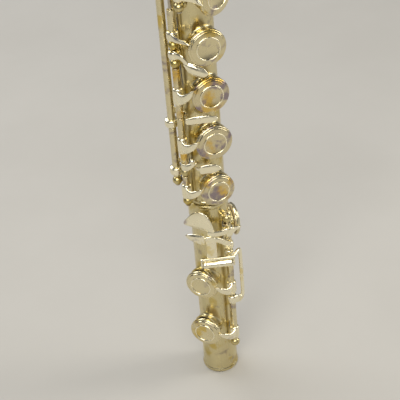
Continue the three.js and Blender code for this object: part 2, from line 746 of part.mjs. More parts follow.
const FOOT_POSTS = [24, 114];
addNode('foot_lower_rib', ribWithPosts(FOOT_STEEL_LINE, 20.6, 28, [FOOT_POSTS[0]]), 'ribs');

// The socket is wider than the tube, so the upper post stands on a raised foot.
function footUpperPost() {
  const seat = strap(FOOT_STEEL_LINE.phi, 12, 11.5, 12, 111, 117);
  const stem = radialPlug(
    FOOT_STEEL_LINE.phi, FOOT_POSTS[1], POST_STEM_RADIUS, 11.6, FOOT_STEEL_LINE.radius, 8);
  const post = union([seat, stem, ball(FOOT_STEEL_LINE, FOOT_POSTS[1], POST_BALL_RADIUS)]);
  return post.subtract(
    roundBar(FOOT_STEEL_LINE, FOOT_POSTS[1] - 4, FOOT_POSTS[1] + 4, HINGE_BORE));
}

addNode('foot_upper_post', footUpperPost(), 'ribs');
addSteel('foot_steel', FOOT_STEEL_LINE, 22, 116);

// The C key: its cup is below, and an arm outside the other keys carries the roller.
// The roller lies across the tube: offset is how far its middle is past the line phi.
const ROLLER = { phi: -34.5, distance: 14.3, offset: 3.7, z: 87.6, radius: 2.3, length: 16.4 };
const ROLLER_PIN_RADIUS = 0.8;
const RAIL = { bottom: 90.3, top: 91.9 };

function acrossTube(radius, length, sides) {
  const geometry = new THREE.CylinderGeometry(radius, radius, length, sides);
  geometry.rotateZ(Math.PI / 2);
  geometry.translate(ROLLER.offset, -ROLLER.distance, ROLLER.z);
  return solid(geometry.rotateZ(radians(ROLLER.phi)));
}

function rollerEar(side) {
  const x = ROLLER.offset + side * (ROLLER.length / 2 + 1);
  return plate([
    [x - 0.6, ROLLER.z - 1.8], [x + 0.6, ROLLER.z - 1.8],
    [x + 0.6, RAIL.top], [x - 0.6, RAIL.top],
  ], ROLLER.phi, ROLLER.distance - 1.8, ROLLER.distance + 1.8);
}

function rollerFrame() {
  const reach = ROLLER.length / 2 + 1.4;
  const rail = plate([
    [ROLLER.offset - reach, RAIL.bottom], [ROLLER.offset + reach, RAIL.bottom],
    [ROLLER.offset + reach, RAIL.top], [ROLLER.offset - reach, RAIL.top],
  ], ROLLER.phi, ROLLER.distance - 0.8, ROLLER.distance + 0.8);
  const rise = bentStrip([[15, 14.4], [21, 17], [30, 18.4], [34, 18.4]], 1.6, 54.6, 59.6);
  const stretch = beam(at(31, 18.4, 56), at(29, 18.4, 91.4), 2.6, 1.6);
  const turn = beam(at(30, 18.3, 90.9), at(7, 18.9, 91.1), 1.6, 2.2);
  return union([rail, rollerEar(-1), rollerEar(1), rise, stretch, turn]);
}

const FOOT_C_TUBE = { bottom: 26.6, top: 60 };
const cFootKey = cupKey({
  holes: [{ hole: HOLES.foot_c, armHeight: 32.6, width: 7 }],
  line: FOOT_STEEL_LINE,
  tube: FOOT_C_TUBE,
  extras: [rollerFrame()],
});
const pinSpace = acrossTube(ROLLER_PIN_RADIUS + 0.15, ROLLER.length + 8, 8);
addKey('c_foot_key', cFootKey.subtract(pinSpace), FOOT_STEEL_LINE, OPEN_FROM_RIGHT);
addPad('c_foot_pad', HOLES.foot_c, FOOT_STEEL_LINE, OPEN_FROM_RIGHT);
addKey('roller_pin', acrossTube(ROLLER_PIN_RADIUS, ROLLER.length + 4, 8),
  FOOT_STEEL_LINE, OPEN_FROM_RIGHT);
const roller = acrossTube(ROLLER.radius, ROLLER.length, 12)
  .subtract(acrossTube(ROLLER_PIN_RADIUS + 0.25, ROLLER.length + 2, 8));
addKey('c_roller', roller, FOOT_STEEL_LINE, OPEN_FROM_RIGHT);

// The C sharp key's touch is a plate with a wing beside it.
function cSharpTouch() {
  const touch = plate(
    [[-3.2, 92.6], [3.2, 92.6], [3.2, 105.4], [2.4, 106.6], [-3.2, 106.6]], -27, 15.4, 16.6);
  const wing = plate(
    [[-9, 104.2], [-5, 101.4], [5, 100.6], [5, 106.8], [-7, 106.6]], -56, 15.2, 16.4);
  const arm = beam(at(14, 14.8, 97), at(-18, 16.3, 103.5), 3, 1.4);
  return union([touch, wing, arm]);
}

const cSharpFootKey = cupKey({
  holes: [{ hole: HOLES.foot_c_sharp, armHeight: 66.4, width: 7 }],
  line: FOOT_STEEL_LINE,
  tube: { bottom: 60.4, top: 101 },
  extras: [cSharpTouch()],
});
addKey('c_sharp_foot_key', cSharpFootKey, FOOT_STEEL_LINE, OPEN_FROM_RIGHT);
addPad('c_sharp_foot_pad', HOLES.foot_c_sharp, FOOT_STEEL_LINE, OPEN_FROM_RIGHT);

// The D sharp key stays closed: its crescent touch and its cup are on opposite
// sides of the steel.
function dSharpTouch() {
  const touch = plate([
    [-9.2, 112.6], [-7.4, 116.6], [-4.2, 120.4], [0, 122.3], [3.6, 122.2], [6.6, 119],
    [8.4, 114], [8.4, 110.4], [5.6, 108.8], [-5, 109.4],
  ], -48, 15.4, 16.6);
  const arm = bentStrip([[15, 14.8], [3, 16], [-10, 16.8], [-24, 17.6]], 1.4, 107, 110.4);
  return touch.add(arm);
}

const dSharpFootKey = cupKey({
  holes: [{ hole: HOLES.foot_d_sharp, armHeight: 105.6, width: 6 }],
  line: FOOT_STEEL_LINE,
  tube: { bottom: 101.3, top: 110.7 },
  extras: [dSharpTouch()],
});
addKey('d_sharp_foot_key', dSharpFootKey, FOOT_STEEL_LINE, 0);
addPad('d_sharp_foot_pad', HOLES.foot_d_sharp, FOOT_STEEL_LINE, 0);

export default flute;
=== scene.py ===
"""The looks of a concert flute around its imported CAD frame.

Shapes are worked out in millimetres and degrees in the part's own frame and become metres
when a piece is made. An angle phi goes around the tube from -Y towards +X.
"""

import json
import math

import bmesh
import bpy
import numpy as np
from mathutils import Matrix, Vector


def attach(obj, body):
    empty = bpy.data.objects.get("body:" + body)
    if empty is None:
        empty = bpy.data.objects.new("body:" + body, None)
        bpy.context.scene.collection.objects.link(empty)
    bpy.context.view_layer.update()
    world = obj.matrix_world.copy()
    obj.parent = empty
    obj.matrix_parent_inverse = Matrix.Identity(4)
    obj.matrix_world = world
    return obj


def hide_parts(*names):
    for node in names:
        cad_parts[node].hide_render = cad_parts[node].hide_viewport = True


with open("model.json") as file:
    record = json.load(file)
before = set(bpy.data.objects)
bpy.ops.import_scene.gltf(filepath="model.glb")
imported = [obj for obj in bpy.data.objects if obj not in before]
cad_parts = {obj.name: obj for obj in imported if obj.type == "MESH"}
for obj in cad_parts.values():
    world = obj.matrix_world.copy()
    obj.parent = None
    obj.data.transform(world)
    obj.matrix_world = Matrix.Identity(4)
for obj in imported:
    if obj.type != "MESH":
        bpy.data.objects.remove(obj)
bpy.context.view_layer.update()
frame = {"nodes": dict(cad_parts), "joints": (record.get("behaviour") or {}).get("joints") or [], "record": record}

MM = 0.001
UP = np.array([0.0, 0.0, 1.0])

# ---- Dimensions of the part, in millimetres ----

BORE_RADIUS = 9.5
TUBE_RADIUS = 9.9
FOOT_LENGTH = 123
FOOT_TENON = 11
BODY_TOP = 447
BARREL = {"bottom": 441, "top": 491, "radius": 11.1}
HEAD_TENON_BOTTOM = 450
HEAD_TOP = 663
HEAD_TOP_RADIUS = 8.9
HEAD_WALL = 0.4
TENON_RADIUS = 9.8
SOCKET_RADIUS = 10.0
SOCKET_OUTER_RADIUS = 10.9
EMBOUCHURE = 608
BLOW_HOLE = (5.2, 6.1)    # half its width and half its height
LIP_PLATE = (12.2, 22)
TOTAL_LENGTH = 676
SCREW_ROOF = 670.6    # the top of the room for the stopper's screw in the crown

# Tone holes: height, angle and inner radius.
FOOT_LINE = -61
BACK_LINE = 176
TRILL_LINE = -162
HOLES = {
    "foot_c": (37, FOOT_LINE, 6.6),
    "foot_c_sharp": (72, FOOT_LINE, 6.6),
    "foot_d_sharp": (103.5, 75, 6.6),
    "d": (136, 0, 6.7),
    "e": (165.4, 0, 7.1),
    "f": (193, 0, 7.1),
    "f_sharp": (219.2, 0, 7.1),
    "g_lower": (244, 22.6, 7.1),
    "g_upper": (267.3, 22.6, 7.1),
    "g_sharp": (247, BACK_LINE, 6.6),
    "a": (289.3, 0, 6.5),
    "a_sharp": (310.1, 0, 6.5),
    "thumb": (329.7, BACK_LINE, 6.5),
    "c_sharp": (363, 0, 3.4),
    "d_trill": (382, TRILL_LINE, 3.7),
    "d_sharp_trill": (399, TRILL_LINE, 3.7),
}
SMALL_HOLE = 5    # a hole under this radius has a plain small cup
CHIMNEY_WALL = 0.8
CHIMNEY_RIM = 12
CUP_OVERHANG = {"small": 1.9, "large": 2.6}
CUP_FLOOR = 12.8
CUP_ROOF = 14.25
PAD_TOP = 14.15
RING_SHARE = 0.61    # of the cup's radius
HINGE_RADIUS = 1.85
TRILL_HINGE_RADIUS = 2.0
HINGE_BORE = 1.0
SLEEVE_RADIUS = 2.75
POST_BALL = 2.6
STEEL_RADIUS = 0.85
RIB = {"half_width": 1.75, "under": 9.85, "top": 10.5}
ARM_WIDTH = 7.4
SMALL_ARM_WIDTH = 4.6

# An open key stands this many degrees off its closed place. The sign is the side of the
# tube that its hinge is on.
KEY_LIFT = 9.5
OPEN_LEFT = -KEY_LIFT
OPEN_RIGHT = KEY_LIFT
CLOSED = 0

# Sides of a turned shape.
ROUND = 72
TUBE_ROUND = 96
AXIS_RADIUS = 0.02    # stands for the axis, where a turned shape closes

SHARP_ANGLE = 38
WELD_DISTANCE = 1e-7    # metres


# ---- Shapes: each is (vertices, faces) of closed shells in millimetres ----


def line_of(joint):
    """The (x, y) of a hinge's line, from the frame's joints."""
    found = next(j for j in frame["joints"] if j["name"] == joint)
    return np.array(found["pos_m"][:2]) / MM


def polar(phi, radius, z=0.0):
    """The (x, y, z) of a point at an angle and a distance from the tube's axis."""
    angle = math.radians(phi)
    return np.array([radius * math.sin(angle), -radius * math.cos(angle), z])


def joined(shapes):
    """All the shapes as one."""
    vertices, faces, start = [], [], 0
    for v, f in shapes:
        vertices.append(v)
        faces += [[start + i for i in face] for face in f]
        start += len(v)
    return np.vstack(vertices), faces


def moved(shape, offset):
    return shape[0] + np.asarray(offset, float), shape[1]


def turned_about(shape, centre, degrees):
    """Turned about the line along Z through centre."""
    c, s = math.cos(math.radians(degrees)), math.sin(math.radians(degrees))
    v = shape[0].copy()
    x, y = v[:, 0] - centre[0], v[:, 1] - centre[1]
    v[:, 0] = centre[0] + c * x - s * y
    v[:, 1] = centre[1] + s * x + c * y
    return v, shape[1]


def filleted(points, loop=False, steps=4):
    """The outline with its corners rounded. A corner is (x, y) or (x, y, fillet)."""
    out, count = [], len(points)
    for i, corner in enumerate(points):
        here = np.array(corner[:2], float)
        fillet = corner[2] if len(corner) > 2 else 0
        if not fillet or (not loop and i in (0, count - 1)):
            out.append(here)
            continue
        before = np.array(points[i - 1][:2], float) - here
        after = np.array(points[(i + 1) % count][:2], float) - here
        reach = min(fillet, 0.48 * np.linalg.norm(before), 0.48 * np.linalg.norm(after))
        start = here + before / np.linalg.norm(before) * reach
        end = here + after / np.linalg.norm(after) * reach
        for t in np.linspace(0, 1, steps + 1):
            out.append((1 - t) ** 2 * start + 2 * t * (1 - t) * here + t**2 * end)
    return np.array(out)


def rings_to_shape(rings, loop=False):
    """Bridges rings of equal length. The ends are closed, or joined where loop is true."""
    count, sides = len(rings), len(rings[0])
    vertices = np.vstack(rings)
    faces = []
    for i in range(count if loop else count - 1):
        a, b = i * sides, ((i + 1) % count) * sides
        for k in range(sides):
            m = (k + 1) % sides
            faces.append([a + k, a + m, b + m, b + k])
    if not loop:
        last = (count - 1) * sides
        faces.append(list(range(sides))[::-1])
        faces.append([last + k for k in range(sides)])
    return vertices, faces


def turned(outline, sides=ROUND, loop=False):
    """A solid of revolution about Z. A solid outline runs from axis to axis."""
    angles = np.linspace(0, 2 * math.pi, sides, endpoint=False)
    circle = np.stack([np.cos(angles), np.sin(angles), 0 * angles], 1)
    rings = [max(r, AXIS_RADIUS) * circle + z * UP for r, z in outline]
    return rings_to_shape(rings, loop)


def on_line(shape, line):
    """Moved from the tube's axis to a hinge's line."""
    return moved(shape, (line[0], line[1], 0))


def on_radius(shape, phi, z=0.0):
    """Local x goes around the tube, local y up it and local z outwards."""
    across = polar(phi + 90, 1)
    outwards = polar(phi, 1)
    v = shape[0]
    placed = v[:, [0]] * across + v[:, [1]] * UP + v[:, [2]] * outwards
    return placed + z * UP, shape[1]


def spline(points, steps):
    """Points along a Catmull-Rom curve through rows of numbers."""
    p = np.array(points, float)
    p = np.vstack([2 * p[0] - p[1], p, 2 * p[-1] - p[-2]])
    out = []
    for i in range(1, len(p) - 2):
        for t in np.linspace(0, 1, steps, endpoint=False):
            a, b, c, d = p[i - 1], p[i], p[i + 1], p[i + 2]
            out.append(0.5 * (2 * b + (c - a) * t + (2 * a - 5 * b + 4 * c - d) * t**2
                              + (3 * b - 3 * c + d - a) * t**3))
    out.append(p[-2])
    return np.array(out)


def swept(stations, steps=6, sides=20, square=2.3):
    """A bar with a rounded section through (x, y, z, width, thickness) stations. Its
    thickness points away from the tube's axis."""
    rows = spline(stations, steps)
    path, widths, thick = rows[:, :3], np.maximum(rows[:, 3], 0.3), np.maximum(rows[:, 4], 0.3)
    along = np.gradient(path, axis=0)
    along /= np.linalg.norm(along, axis=1)[:, None]
    angles = np.linspace(0, 2 * math.pi, sides, endpoint=False)
    section_x = np.sign(np.cos(angles)) * np.abs(np.cos(angles)) ** (2 / square)
    section_y = np.sign(np.sin(angles)) * np.abs(np.sin(angles)) ** (2 / square)

    def ring(i, shrink, shift):
        outwards = np.array([path[i][0], path[i][1], 0.0])
        outwards -= outwards @ along[i] * along[i]
        outwards /= np.linalg.norm(outwards)
        across = np.cross(along[i], outwards)
        wide = np.outer(section_x * max(widths[i] / 2 - shrink, 0.05), across)
        deep = np.outer(section_y * max(thick[i] / 2 - shrink, 0.05), outwards)
        return path[i] + wide + deep + along[i] * shift

    rings = [ring(0, 0.3, -0.3), ring(0, 0.1, -0.2)]
    rings += [ring(i, 0, 0) for i in range(len(path))]
    rings += [ring(len(path) - 1, 0.1, 0.2), ring(len(path) - 1, 0.3, 0.3)]
    return rings_to_shape(rings)


def bar(points, widths, thickness, **options):
    """swept() through (phi, radius, z) points."""
    stations = [[*polar(*p), w, thickness] for p, w in zip(points, widths)]
    return swept(stations, **options)


def smooth_outline(points, samples=8):
    """A closed curve through the points."""
    p = [np.array(q, float) for q in points]
    rows = spline([p[-1], *p, p[0], p[1]], samples)
    return rows[samples:-samples - 1]


def touch(outline, phi, inner, outer, crown=0.35, edge=0.5, smooth=True):
    """A finger plate: a rounded edge and a slightly domed top over an outline of
    (x, z) points."""
    ring = smooth_outline(outline) if smooth else filleted(outline, loop=True)
    centre = ring.mean(0)
    reach = np.linalg.norm(ring - centre, axis=1)[:, None]

    def level(inset, height):
        flat = centre + (ring - centre) * np.maximum(1 - inset / reach, 0.02)
        return np.column_stack([flat, np.full(len(flat), height)])

    size = reach.min()
    rounding = [(edge * (1 - math.cos(a)), outer - edge * (1 - math.sin(a)))
                for a in np.linspace(0, math.pi / 2, 5)]
    levels = [level(size * 0.97, inner), level(edge * 0.6, inner), level(0, inner + edge * 0.5)]
    levels += [level(inset, height) for inset, height in rounding]
    for share in (0.25, 0.45, 0.65, 0.85, 0.985):
        flat = centre + (ring - centre) * (1 - share)
        height = outer + crown * (1 - (1 - share) ** 2)
        levels.append(np.column_stack([flat, np.full(len(flat), height)]))
    return on_radius(rings_to_shape(levels), phi)


# ---- Making objects ----


def make(name, shapes, body, nodes, material):
    """One piece from closed shells, riding on a body in place of CAD nodes."""
    vertices, faces = joined(shapes)
    mesh = bpy.data.meshes.new(name)
    mesh.from_pydata((vertices * MM).tolist(), [], faces)
    bm = bmesh.new()
    bm.from_mesh(mesh)
    bmesh.ops.remove_doubles(bm, verts=bm.verts, dist=WELD_DISTANCE)
    bmesh.ops.recalc_face_normals(bm, faces=bm.faces)
    bm.to_mesh(mesh)
    bm.free()
    mesh.shade_smooth()
    mesh.set_sharp_from_angle(angle=math.radians(SHARP_ANGLE))
    mesh.materials.append(material)
    piece = bpy.data.objects.new(name, mesh)
    bpy.context.scene.collection.objects.link(piece)
    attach(piece, body)
    if nodes:
        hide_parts(*nodes)
    return piece


def cut_with(shape, cutters):
    """The shape with the cutters' space taken away."""
    objects = []
    for label, (vertices, faces) in (("target", shape), ("cutter", joined(cutters))):
        mesh = bpy.data.meshes.new(label)
        mesh.from_pydata(vertices.tolist(), [], faces)
        bm = bmesh.new()
        bm.from_mesh(mesh)
        bmesh.ops.recalc_face_normals(bm, faces=bm.faces)
        bm.to_mesh(mesh)
        bm.free()
        item = bpy.data.objects.new(label, mesh)
        bpy.context.scene.collection.objects.link(item)
        objects.append(item)
    target, cutter = objects
    modifier = target.modifiers.new("cut", "BOOLEAN")
    modifier.operation = "DIFFERENCE"
    modifier.solver = "MANIFOLD"
    modifier.object = cutter
    graph = bpy.context.evaluated_depsgraph_get()
    result = target.evaluated_get(graph).to_mesh()
    vertices = np.array([v.co[:] for v in result.vertices])
    faces = [list(p.vertices) for p in result.polygons]
    for item in objects:
        mesh = item.data
        bpy.data.objects.remove(item)
        bpy.data.meshes.remove(mesh)
    return vertices, faces


# ---- Materials ----


def node_tools(name):
    """A new material with its tree, its shader and a function that adds nodes."""
    material = bpy.data.materials.new(name)
    material.use_nodes = True
    tree = material.node_tree
    shader = tree.nodes["Principled BSDF"]

    def node(kind, **values):
        made = tree.nodes.new(kind)
        for key, value in values.items():
            if key in made.inputs:
                made.inputs[key].default_value = value
            else:
                setattr(made, key, value)
        return made

    return material, tree, shader, node


def noise_at(tree, node, coordinates, scale, detail, stretch=None):
    """Noise with a scale in patches per metre, stretched where its pattern has a grain."""
    source = coordinates
    if stretch:
        mapping = node("ShaderNodeMapping")
        mapping.inputs["Scale"].default_value = stretch
        tree.links.new(coordinates, mapping.inputs["Vector"])
        source = mapping.outputs["Vector"]
    noise = node("ShaderNodeTexNoise", Scale=scale, Detail=detail, Roughness=0.55)
    tree.links.new(source, noise.inputs["Vector"])
    return noise.outputs["Fac"]


def remapped(tree, node, value, low, high, to_low, to_high):
    """The value moved smoothly from one range to another."""
    made = node("ShaderNodeMapRange")
    made.interpolation_type = "SMOOTHSTEP"
    for key, number in zip(("From Min", "From Max", "To Min", "To Max"),
                           (low, high, to_low, to_high)):
        made.inputs[key].default_value = number
    tree.links.new(value, made.inputs["Value"])
    return made.outputs["Result"]


def mixed(tree, node, factor, first, second):
    """A colour between two, each of them a tuple or a socket."""
    mix = node("ShaderNodeMix", data_type="RGBA")
    tree.links.new(factor, mix.inputs["Factor"])
    colour_a, colour_b = mix.inputs[6], mix.inputs[7]
    for socket, value in ((colour_a, first), (colour_b, second)):
        if isinstance(value, tuple):
            socket.default_value = (*value, 1)
        else:
            tree.links.new(value, socket)
    return mix.outputs[2]


ALONG_TUBE = (1, 1, 0.12)
ALONG_KEY = (1, 1, 0.25)


def plated(name, clean, tarnish, film_and_reflection, spread, roughness, streak=None, dark_patch_threshold=0.58):
    """Worn silver plate: clean metal with patches of yellow tarnish and dark patches,
    a changing gloss, and fine rubbing marks. The dark patches are partly a tarnish film and
    partly a painted reflection of dark surroundings; a lower threshold gives more of them."""
    material, tree, shader, node = node_tools(name)
    place = node("ShaderNodeTexCoord").outputs["Object"]
    shader.inputs["Metallic"].default_value = 1.0
    patches = noise_at(tree, node, place, 95, 5)
    share = remapped(tree, node, patches, 0.6 - spread, 0.68 - spread * 0.4, 0.0, 0.9)
    colour = mixed(tree, node, share, clean, tarnish)
    # Dark patches: partly a tarnish film, partly a painted reflection of dark surroundings.
    spots = noise_at(tree, node, place, 130, 5)
    dark = remapped(tree, node, spots, dark_patch_threshold, dark_patch_threshold + 0.14, 0.0, 0.75)
    colour = mixed(tree, node, dark, colour, film_and_reflection)
    tree.links.new(colour, shader.inputs["Base Color"])
    wear = noise_at(tree, node, place, 150, 6, streak)
    gloss = remapped(tree, node, wear, 0.3, 0.72, roughness[0], roughness[1])
    tree.links.new(gloss, shader.inputs["Roughness"])
    marks = noise_at(tree, node, place, 1500, 4, streak or ALONG_KEY)
    surface = node("ShaderNodeBump", Strength=0.05, Distance=0.0001)
    tree.links.new(marks, surface.inputs["Height"])
    tree.links.new(surface.outputs["Normal"], shader.inputs["Normal"])
    return material


def soft_material(name, first, second, scale, roughness, bump):
    """A matt material whose colour and surface change at one scale."""
    material, tree, shader, node = node_tools(name)
    place = node("ShaderNodeTexCoord").outputs["Object"]
    grain = noise_at(tree, node, place, scale, 6)
    colour = mixed(tree, node, remapped(tree, node, grain, 0.35, 0.65, 0, 1), first, second)
    tree.links.new(colour, shader.inputs["Base Color"])
    fine = noise_at(tree, node, place, scale * 3, 5)
    rough = remapped(tree, node, fine, 0.3, 0.7, roughness - 0.12, roughness)
    tree.links.new(rough, shader.inputs["Roughness"])
    surface = node("ShaderNodeBump", Strength=bump, Distance=0.0003)
    tree.links.new(fine, surface.inputs["Height"])
    tree.links.new(surface.outputs["Normal"], shader.inputs["Normal"])
    return material


# The key metals' dark patches are partly a tarnish film and partly a painted reflection of dark surroundings.
KEY_METAL = plated("key_metal", clean=(0.76, 0.67, 0.42), tarnish=(0.68, 0.50, 0.13),
                   film_and_reflection=(0.26, 0.21, 0.26), spread=0.04, roughness=(0.14, 0.34), dark_patch_threshold=0.56)
# Tube metal: darker than the keys' metal as painted shade between the keys; its yellow patches are tarnish.
SHADED_TUBE_METAL = plated("shaded_tube_metal", clean=(0.70, 0.61, 0.35), tarnish=(0.60, 0.46, 0.13),
                    film_and_reflection=(0.34, 0.28, 0.22), spread=0.08, roughness=(0.2, 0.38),
                    streak=ALONG_TUBE)
RIB_METAL = plated("rib_metal", clean=(0.64, 0.54, 0.27), tarnish=(0.56, 0.42, 0.1),
                   film_and_reflection=(0.26, 0.21, 0.13), spread=0.14, roughness=(0.24, 0.42))
HEAD_METAL = plated("head_metal", clean=(0.76, 0.67, 0.43), tarnish=(0.62, 0.50, 0.2),
                    film_and_reflection=(0.36, 0.31, 0.25), spread=0.02, roughness=(0.18, 0.34),
                    streak=ALONG_TUBE)
STEEL_METAL = plated("steel_metal", clean=(0.50, 0.45, 0.36), tarnish=(0.38, 0.28, 0.14),
                     film_and_reflection=(0.16, 0.14, 0.14), spread=0.02, roughness=(0.2, 0.36))
# The worn metal is lighter than the keys' metal: partly rubbed bright by use, partly a painted highlight on the
# arms, touches, collars, rings and roller.
WORN_AND_HIGHLIT_METAL = plated("worn_and_highlit_metal", clean=(0.96, 0.89, 0.66), tarnish=(0.84, 0.70, 0.34),
                    film_and_reflection=(0.42, 0.36, 0.4), spread=0.0, roughness=(0.16, 0.32), dark_patch_threshold=0.6)
SPRING_METAL = plated("spring_metal", clean=(0.10, 0.12, 0.20), tarnish=(0.2, 0.16, 0.12),
                      film_and_reflection=(0.05, 0.05, 0.07), spread=0.02, roughness=(0.25, 0.4))
# More dark patches than the key metal: more painted reflection as well as more tarnish.
TARNISH_AND_REFLECTION_METAL = plated("tarnish_and_reflection_metal", clean=(0.72, 0.63, 0.40),
                         tarnish=(0.76, 0.50, 0.10), film_and_reflection=(0.22, 0.17, 0.26), spread=0.12,
                         roughness=(0.14, 0.34), dark_patch_threshold=0.49)
PAD_SKIN = soft_material("pad_skin_look", (0.78, 0.66, 0.42), (0.62, 0.46, 0.24), scale=420,
                         roughness=0.62, bump=0.3)
CORK = soft_material("cork_look", (0.58, 0.36, 0.18), (0.36, 0.2, 0.09), scale=900,
                     roughness=0.95, bump=0.6)

# The stopper lies inside the head tube, so its CAD shapes stay.
for part, look in (("stopper_screw", STEEL_METAL), ("stopper_nut", STEEL_METAL),
                   ("stopper_cork", CORK)):
    plain = frame["nodes"][part]
    plain.data.materials.clear()
    plain.data.materials.append(look)


# ---- Camera, floor and light ----

# The place is in millimetres, the angles are in degrees, and pitch is downwards.
CAMERA = {"place": (-220.3, -423.1, 464.5), "yaw": 27.0, "pitch": 35.855, "roll": -4.951,
          "lens": 98.09}


def add_camera():
    data = bpy.data.cameras.new("camera")
    data.lens = CAMERA["lens"]
    data.sensor_width = 36
    data.clip_start, data.clip_end = 0.01, 20
    camera = bpy.data.objects.new("camera", data)
    bpy.context.scene.collection.objects.link(camera)
    yaw, pitch, roll = (math.radians(CAMERA[k]) for k in ("yaw", "pitch", "roll"))
    ahead = Vector((math.sin(yaw) * math.cos(pitch), math.cos(yaw) * math.cos(pitch),
                    -math.sin(pitch)))
    right = Vector((math.cos(yaw), -math.sin(yaw), 0))
    above = right.cross(ahead)
    side = math.cos(roll) * right + math.sin(roll) * above
    top = -math.sin(roll) * right + math.cos(roll) * above
    turn = Matrix((side, top, -ahead)).transposed().to_4x4()
    camera.matrix_world = Matrix.Translation(Vector(CAMERA["place"]) * MM) @ turn
    bpy.context.scene.camera = camera


def add_floor():
    mesh = bpy.data.meshes.new("floor")
    size, depth = 4.0, -0.0003
    corners = [(-size, -size, depth), (size, -size, depth), (size, size, depth),
               (-size, size, depth)]
    mesh.from_pydata(corners, [], [[0, 1, 2, 3]])
    mesh.materials.append(soft_material("floor_look", (0.50, 0.48, 0.44), (0.48, 0.46, 0.42),
                                        scale=6, roughness=0.9, bump=0.02))
    floor = bpy.data.objects.new("floor", mesh)
    bpy.context.scene.collection.objects.link(floor)


def add_light(name, place, size, power, colour):
    """A soft box that faces the middle of the keys."""
    data = bpy.data.lights.new(name, "AREA")
    data.shape = "RECTANGLE"
    data.size, data.size_y = size
    data.energy = power
    data.color = colour
    light = bpy.data.objects.new(name, data)
    light.location = place
    aim = (Vector(LIT_POINT) - Vector(place)).to_track_quat("-Z", "Y")
    light.rotation_euler = aim.to_euler()
    bpy.context.scene.collection.objects.link(light)


def add_world():
    world = bpy.data.worlds.new("studio")
    bpy.context.scene.world = world
    world.use_nodes = True
    back = world.node_tree.nodes["Background"]
    back.inputs["Color"].default_value = (0.86, 0.88, 0.92, 1)
    back.inputs["Strength"].default_value = 0.16


bpy.context.scene.view_settings.view_transform = "Standard"
add_camera()
add_floor()
add_world()
LIT_POINT = (0, 0, 0.25)
add_light("key_light", (-0.75, -1.0, 1.2), (1.3, 0.8), 19, (1, 0.98, 0.93))
add_light("side_light", (1.15, -0.5, 0.75), (0.4, 1.1), 8, (1, 0.97, 0.92))
add_light("back_light", (-0.4, 1.2, 1.05), (1.5, 0.6), 12, (0.95, 0.97, 1))
add_light("top_light", (0.1, -0.1, 1.6), (0.9, 0.7), 8, (1, 0.99, 0.96))


# ---- Tubes ----


def chimney(hole):
    """The short wall around a tone hole: a fillet onto the tube and a rolled rim."""
    z, phi, radius = HOLES[hole]
    outer = radius + CHIMNEY_WALL
    profile = [
        (outer + 1.0, -0.2, True), (outer + 0.62, 0.03, True), (outer + 0.3, 0.16, True),
        (outer + 0.1, 0.42, True), (outer, 0.8, True), (outer, CHIMNEY_RIM - 0.75, False),
        (outer + 0.16, CHIMNEY_RIM - 0.5, False), (outer + 0.2, CHIMNEY_RIM - 0.25, False),
        (outer + 0.08, CHIMNEY_RIM - 0.04, False), (outer - 0.25, CHIMNEY_RIM, False),
        (radius + 0.08, CHIMNEY_RIM - 0.08, False), (radius, CHIMNEY_RIM - 0.3, False),
        (radius, -0.42, True),
    ]
    angles = np.linspace(0, 2 * math.pi, ROUND, endpoint=False)
    rings = []
    for r, height, on_tube in profile:
        x, y = r * np.cos(angles), r * np.sin(angles)
        base = np.sqrt(TUBE_RADIUS**2 - x**2) if on_tube else 0
        rings.append(np.stack([x, y, base + height + 0 * x], 1))
    return on_radius(rings_to_shape(rings, loop=True), phi, z)


def hole_cutter(hole):
    """The space of a tone hole through the tube's wall."""
    z, phi, radius = HOLES[hole]
    outline = [(0, 4), (radius + 0.3, 4), (radius + 0.3, 14), (0, 14)]
    return on_radius(turned(outline, 48), phi, z)


def with_rings(outline, heights):
    """The outline with extra points where its outer wall passes these heights."""
    out = [outline[0]]
    for before, after in zip(outline, outline[1:]):
        low, high = sorted((before[1], after[1]))
        inside = sorted(h for h in heights if low + 0.2 < h < high - 0.2)
        if after[1] < before[1]:
            inside.reverse()
        for h in inside:
            share = (h - before[1]) / (after[1] - before[1])
            out.append(before + (after - before) * share)
        out.append(after)
    return np.array(out)


def hollow_tube(outline, holes, extra_cutters=()):
    """A tube from a closed outline of its wall, with its tone holes cut."""
    heights = []
    for hole in holes:
        z, _, radius = HOLES[hole]
        heights += [z - radius - 2.2, z - radius - 1, z, z + radius + 1, z + radius + 2.2]
    wall = turned(with_rings(outline, heights), TUBE_ROUND, loop=True)
    cutters = [hole_cutter(hole) for hole in holes] + list(extra_cutters)
    return cut_with(wall, cutters) if cutters else wall


def closed_outline(corners):
    """The rounded outline of a wall, ending where it starts."""
    wall = filleted(corners, loop=True)
    return np.vstack([wall, wall[:1]])


def foot_tube():
    bead = 10.35
    shoulder = FOOT_LENGTH - FOOT_TENON - 0.8
    rim = SOCKET_OUTER_RADIUS + 0.4
    wall = closed_outline([
        (BORE_RADIUS, 0, 0.2), (bead - 0.1, 0, 0.5), (bead, 1.7, 0.5), (TUBE_RADIUS, 2.3, 0.4),
        (TUBE_RADIUS, shoulder, 0.6), (SOCKET_OUTER_RADIUS, shoulder + 1, 0.5),
        (SOCKET_OUTER_RADIUS, FOOT_LENGTH - 2.4, 0.3), (rim, FOOT_LENGTH - 1.8, 0.4),
        (rim, FOOT_LENGTH, 0.5), (SOCKET_RADIUS, FOOT_LENGTH, 0.3),
        (SOCKET_RADIUS, FOOT_LENGTH - FOOT_TENON, 0.1),
        (BORE_RADIUS, FOOT_LENGTH - FOOT_TENON, 0.1),
    ])
    holes = [name for name in HOLES if name.startswith("foot_")]
    return [hollow_tube(wall, holes)] + [chimney(name) for name in holes]


